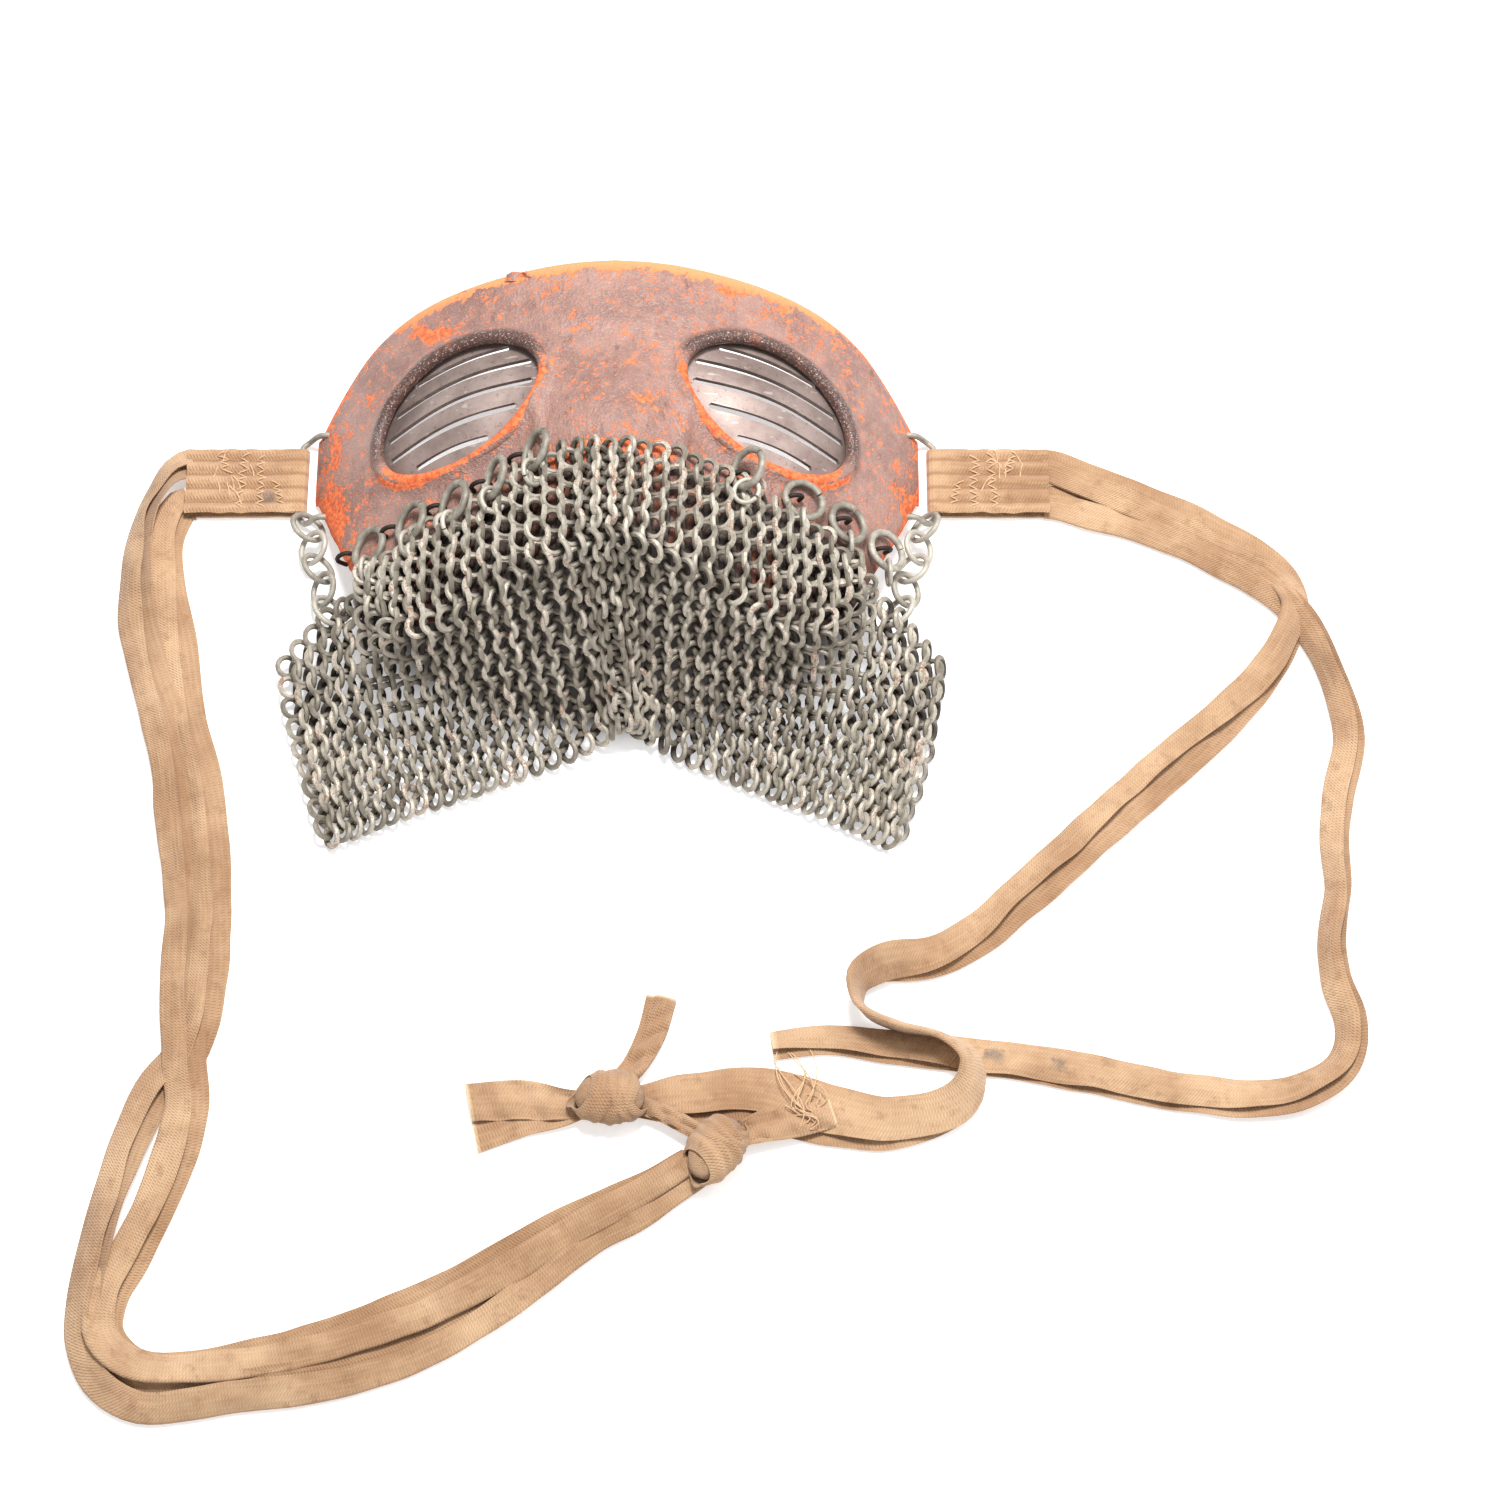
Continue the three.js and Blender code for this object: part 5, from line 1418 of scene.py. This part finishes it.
def band_top(side, along, across):
    """The top of a stitched tape end: along from the loop's bar, across from its middle."""
    share = np.clip(along / TAPE_BAND_LENGTH, 0, 1)
    eye = LOOP_WIRE / 2 + PIECE_GAP
    high = BAR_HEIGHT + eye + TAPE_WALL / 2
    high = high + (TAPE_BAND_WALL - 2 * eye - TAPE_WALL) * smooth_step(share, 0.0, 0.35) * 0.6
    ridges = 0.00062 * np.cos(across / TAPE_BAND * 2 * math.pi * 4.5) * smooth_step(share, 0.05, 0.3)
    pucker = 0.00035 * np.sin(along * 900 + across * 500) * np.exp(-((share - 0.55) / 0.3) ** 2)
    x = side * (BAR_ACROSS + along)
    return np.stack([x, across, high + ridges + pucker], axis=-1)


def tape_end(name, side, finish, thread):
    """The tapes' ends sewn into one band round the bar of the strap loop."""
    eye = LOOP_WIRE / 2 + PIECE_GAP + TAPE_WALL / 2
    flat_share = 0.46
    half = TAPE_BAND / 2

    def place(across, up):
        wide = (across - 0.5) * 2 * half * (1 + 0.03 * ripple(up * 9, 1.0, side + 3))
        under = np.clip(up / flat_share, 0, 1)
        bend = np.clip((up - flat_share) / (1 - 2 * flat_share), 0, 1)
        over = np.clip((up - 1 + flat_share) / flat_share, 0, 1)
        top = band_top(side, over * (TAPE_BAND_LENGTH + BAND_TUCK), wide)
        low = np.stack([side * (BAR_ACROSS + (1 - under) * TAPE_BAND_LENGTH), wide,
                        np.full_like(wide, BAR_HEIGHT - eye)], axis=1)
        turn = np.stack([side * (BAR_ACROSS - eye * np.sin(math.pi * bend)), wide,
                         BAR_HEIGHT - eye * np.cos(math.pi * bend)], axis=1)
        return np.where((up < flat_share)[:, None], low, np.where((up > 1 - flat_share)[:, None], top, turn))

    band = grid_sheet(f"{name}_sewn", 60, 120, place)
    metre_map(band, TAPE_BAND, 2 * TAPE_BAND_LENGTH)
    across = grid_shares(60, 120)[0]
    # Painted shade in the valleys between the band's ridges.
    valley_shade = 0.75 * np.clip(-np.cos((across - 0.5) * 2 * math.pi * 4.5), 0, 1) ** 2
    mark_tape(band, valley_shade)
    thicken(band, TAPE_WALL * 0.8, 0.0)
    smooth(band, 70)
    dress(band, finish, "tape", name)
    stitches = join(f"{name}_stitches", sewing(side))
    smooth(stitches)
    dress(stitches, thread, "tape")
    return band, stitches


def sewing(side):
    """Rows of hand stitches across the band, and loose ends of thread."""
    rows = [
        [(0.0125, -0.0098), (0.0132, 0.0092)],
        [(0.0195, -0.0100), (0.0182, 0.0098)],
        [(0.0240, 0.0030), (0.0262, 0.0104)],
        [(0.0060, -0.0085), (0.0078, -0.0005)],
    ]
    threads = []
    for start, end in rows:
        count = int(math.dist(start, end) / TAPE_STITCH * 1.6) + 2
        corners = []
        for k in range(count + 1):
            share = k / count
            along = start[0] + (end[0] - start[0]) * share + (0.0016 if k % 2 else -0.0012)
            across = start[1] + (end[1] - start[1]) * share
            corners.append((along + random.uniform(-0.0004, 0.0004), across))
        threads.append(stitch_line(side, corners, 5))
    for _ in range(9):
        along = random.uniform(0.015, 0.029)
        across = random.uniform(-0.009, 0.0095)
        lean = random.uniform(-0.004, 0.004)
        reach = random.uniform(0.003, 0.006)
        bend = (along + lean * 0.3, across + reach * 0.5)
        corners = [(along, across), bend, (along + lean, across + reach)]
        threads.append(stitch_line(side, [(a, min(b, 0.0112)) for a, b in corners], 8))
    return threads


def stitch_line(side, corners, steps):
    along = np.array([corner[0] for corner in corners])
    across = np.array([corner[1] for corner in corners])
    at = np.linspace(0, len(corners) - 1, (len(corners) - 1) * steps + 1)
    places = range(len(corners))
    tops = band_top(side, np.interp(at, places, along), np.interp(at, places, across))
    lift = 0.00055 + 0.00035 * np.abs(np.sin(at * math.pi))
    tops[:, 2] += lift
    return wire("thread", tops, STITCH_THREAD, sides=6)


FRAY_THREAD = 0.00038
FRAY_COUNT = 14


def frayed_threads(thread):
    """Loose threads at the cut of the frayed tail."""
    threads = []
    for k in range(FRAY_COUNT):
        start = Vector((0.058 + 0.0005 * k, -0.2215 + 0.0012 * (k % 7), 0.0046))
        swing = random.uniform(-0.010, 0.012)
        reach = random.uniform(0.007, 0.017)
        points = [start]
        for step in range(1, 7):
            share = step / 6
            points.append(start + Vector((
                -0.4 * reach * share + 0.0034 * math.sin(4 * share + k),
                reach * share + swing * share * share,
                0.0030 * math.sin(math.pi * share) - 0.0036 * share,
            )))
        line, _, _ = smooth_line([tuple(point) for point in points], 22)
        line[:, 2] = np.maximum(line[:, 2], 0.0006)
        threads.append(wire("fray", line, FRAY_THREAD, sides=6))
    whole = join("frayed_threads", threads)
    smooth(whole)
    return dress(whole, thread, "tape")


def add_tapes():
    cotton = tape_finish()
    thread = thread_finish()
    bands = {name: tape_end(f"tape_end_{name}", side, cotton, thread) for name, side in SIDES}
    knot_left = knot("knot_left", KNOT_LEFT_PLACE, KNOT_LEFT_TURN, cotton, 1.0)
    knot_right = knot("knot_right", KNOT_RIGHT_PLACE, KNOT_RIGHT_TURN, cotton, 2.6)
    tails = {
        "tape_tail_up": tape_tail("tape_tail_up", TAIL_UP, [0.006, 0.0082, 0.0092], [0.9, 0.8, 0.72], 1.0),
        "tape_tail_flared": tape_tail("tape_tail_flared", TAIL_FLARED, [0.007, 0.0165, 0.0220],
                                      [0.9, 0.72, 0.55], 2.0),
        "tape_tail_frayed": tape_tail("tape_tail_frayed", TAIL_FRAYED, [0.007, 0.0115, 0.0125],
                                      [0.9, 0.8, 0.7], 3.0),
        "tape_link": tape_tail("tape_link", TAPE_LINK, [0.005, 0.0055, 0.005], [0.9, 0.9, 0.9], 4.0),
    }
    for name, tail in tails.items():
        dress(tail, cotton, "tape", name)
    frays = frayed_threads(thread)
    legs = [
        ("tape_left_upper", TAPE_LEFT_UPPER, LAY_LEFT_UPPER, TAPE_FOLDED, LEG_LEFT_UPPER_LENGTH,
         [*bands["left"], knot_left, tails["tape_tail_frayed"], tails["tape_link"], frays]),
        ("tape_left_lower", TAPE_LEFT_LOWER, LAY_LEFT_LOWER, TAPE_FOLDED, LEG_LEFT_LOWER_LENGTH, []),
        ("tape_right_upper", TAPE_RIGHT_UPPER, LAY_RIGHT_UPPER, TAPE_FOLDED, LEG_RIGHT_UPPER_LENGTH,
         [*bands["right"], knot_right, tails["tape_tail_up"], tails["tape_tail_flared"]]),
        ("tape_right_lower", TAPE_RIGHT_LOWER, LAY_RIGHT_LOWER, TAPE_NARROW, LEG_RIGHT_LOWER_LENGTH, []),
    ]
    for seed, (name, route, lay, width, length, held) in enumerate(legs):
        tape, path = tape_leg(name, route, lay, seed * 3 + 1)
        dress(tape, cotton, "tape", name)
        start = (route[0][0], route[0][1] + EAR_LINE, route[0][2])
        far_end = "bare" if name == "tape_right_lower" else "knot"


add_camera()
add_floor()
add_studio()
add_tapes()
leather_cover(leather_finish())
steel_plate(steel_finish())
ring_finish = wire_finish("dark oxidised ring wire", srgb(130, 124, 112), srgb(204, 198, 185), 0.0)
staple_finish = wire_finish("blackened staple wire", srgb(44, 36, 31), srgb(72, 60, 52), 0.1)
chain_finish = wire_finish("pale grey chain wire", srgb(140, 134, 122), srgb(196, 190, 178), 0.0)
mail_finish = wire_finish("warm grey mail wire", srgb(130, 122, 109), srgb(208, 200, 186), 0.30)
for side_name, side_sign, held in (("left", -1, RINGS_LEFT), ("right", 1, RINGS_RIGHT)):
    for place, (share, degrees) in enumerate(held, start=1):
        ring_name = f"{side_name}_{place}"
        across = side_sign * share * HALF_CHORD
        split_ring(ring_name, across, math.radians(degrees), ring_finish)
        staple(ring_name, across, math.radians(degrees), staple_finish)
for side_name, side_sign in SIDES:
    strap_loop(side_name, side_sign, chain_finish)
    side_chain(side_name, side_sign, chain_finish)
    mail_half(f"mail_{side_name}", side_sign, mail_finish)
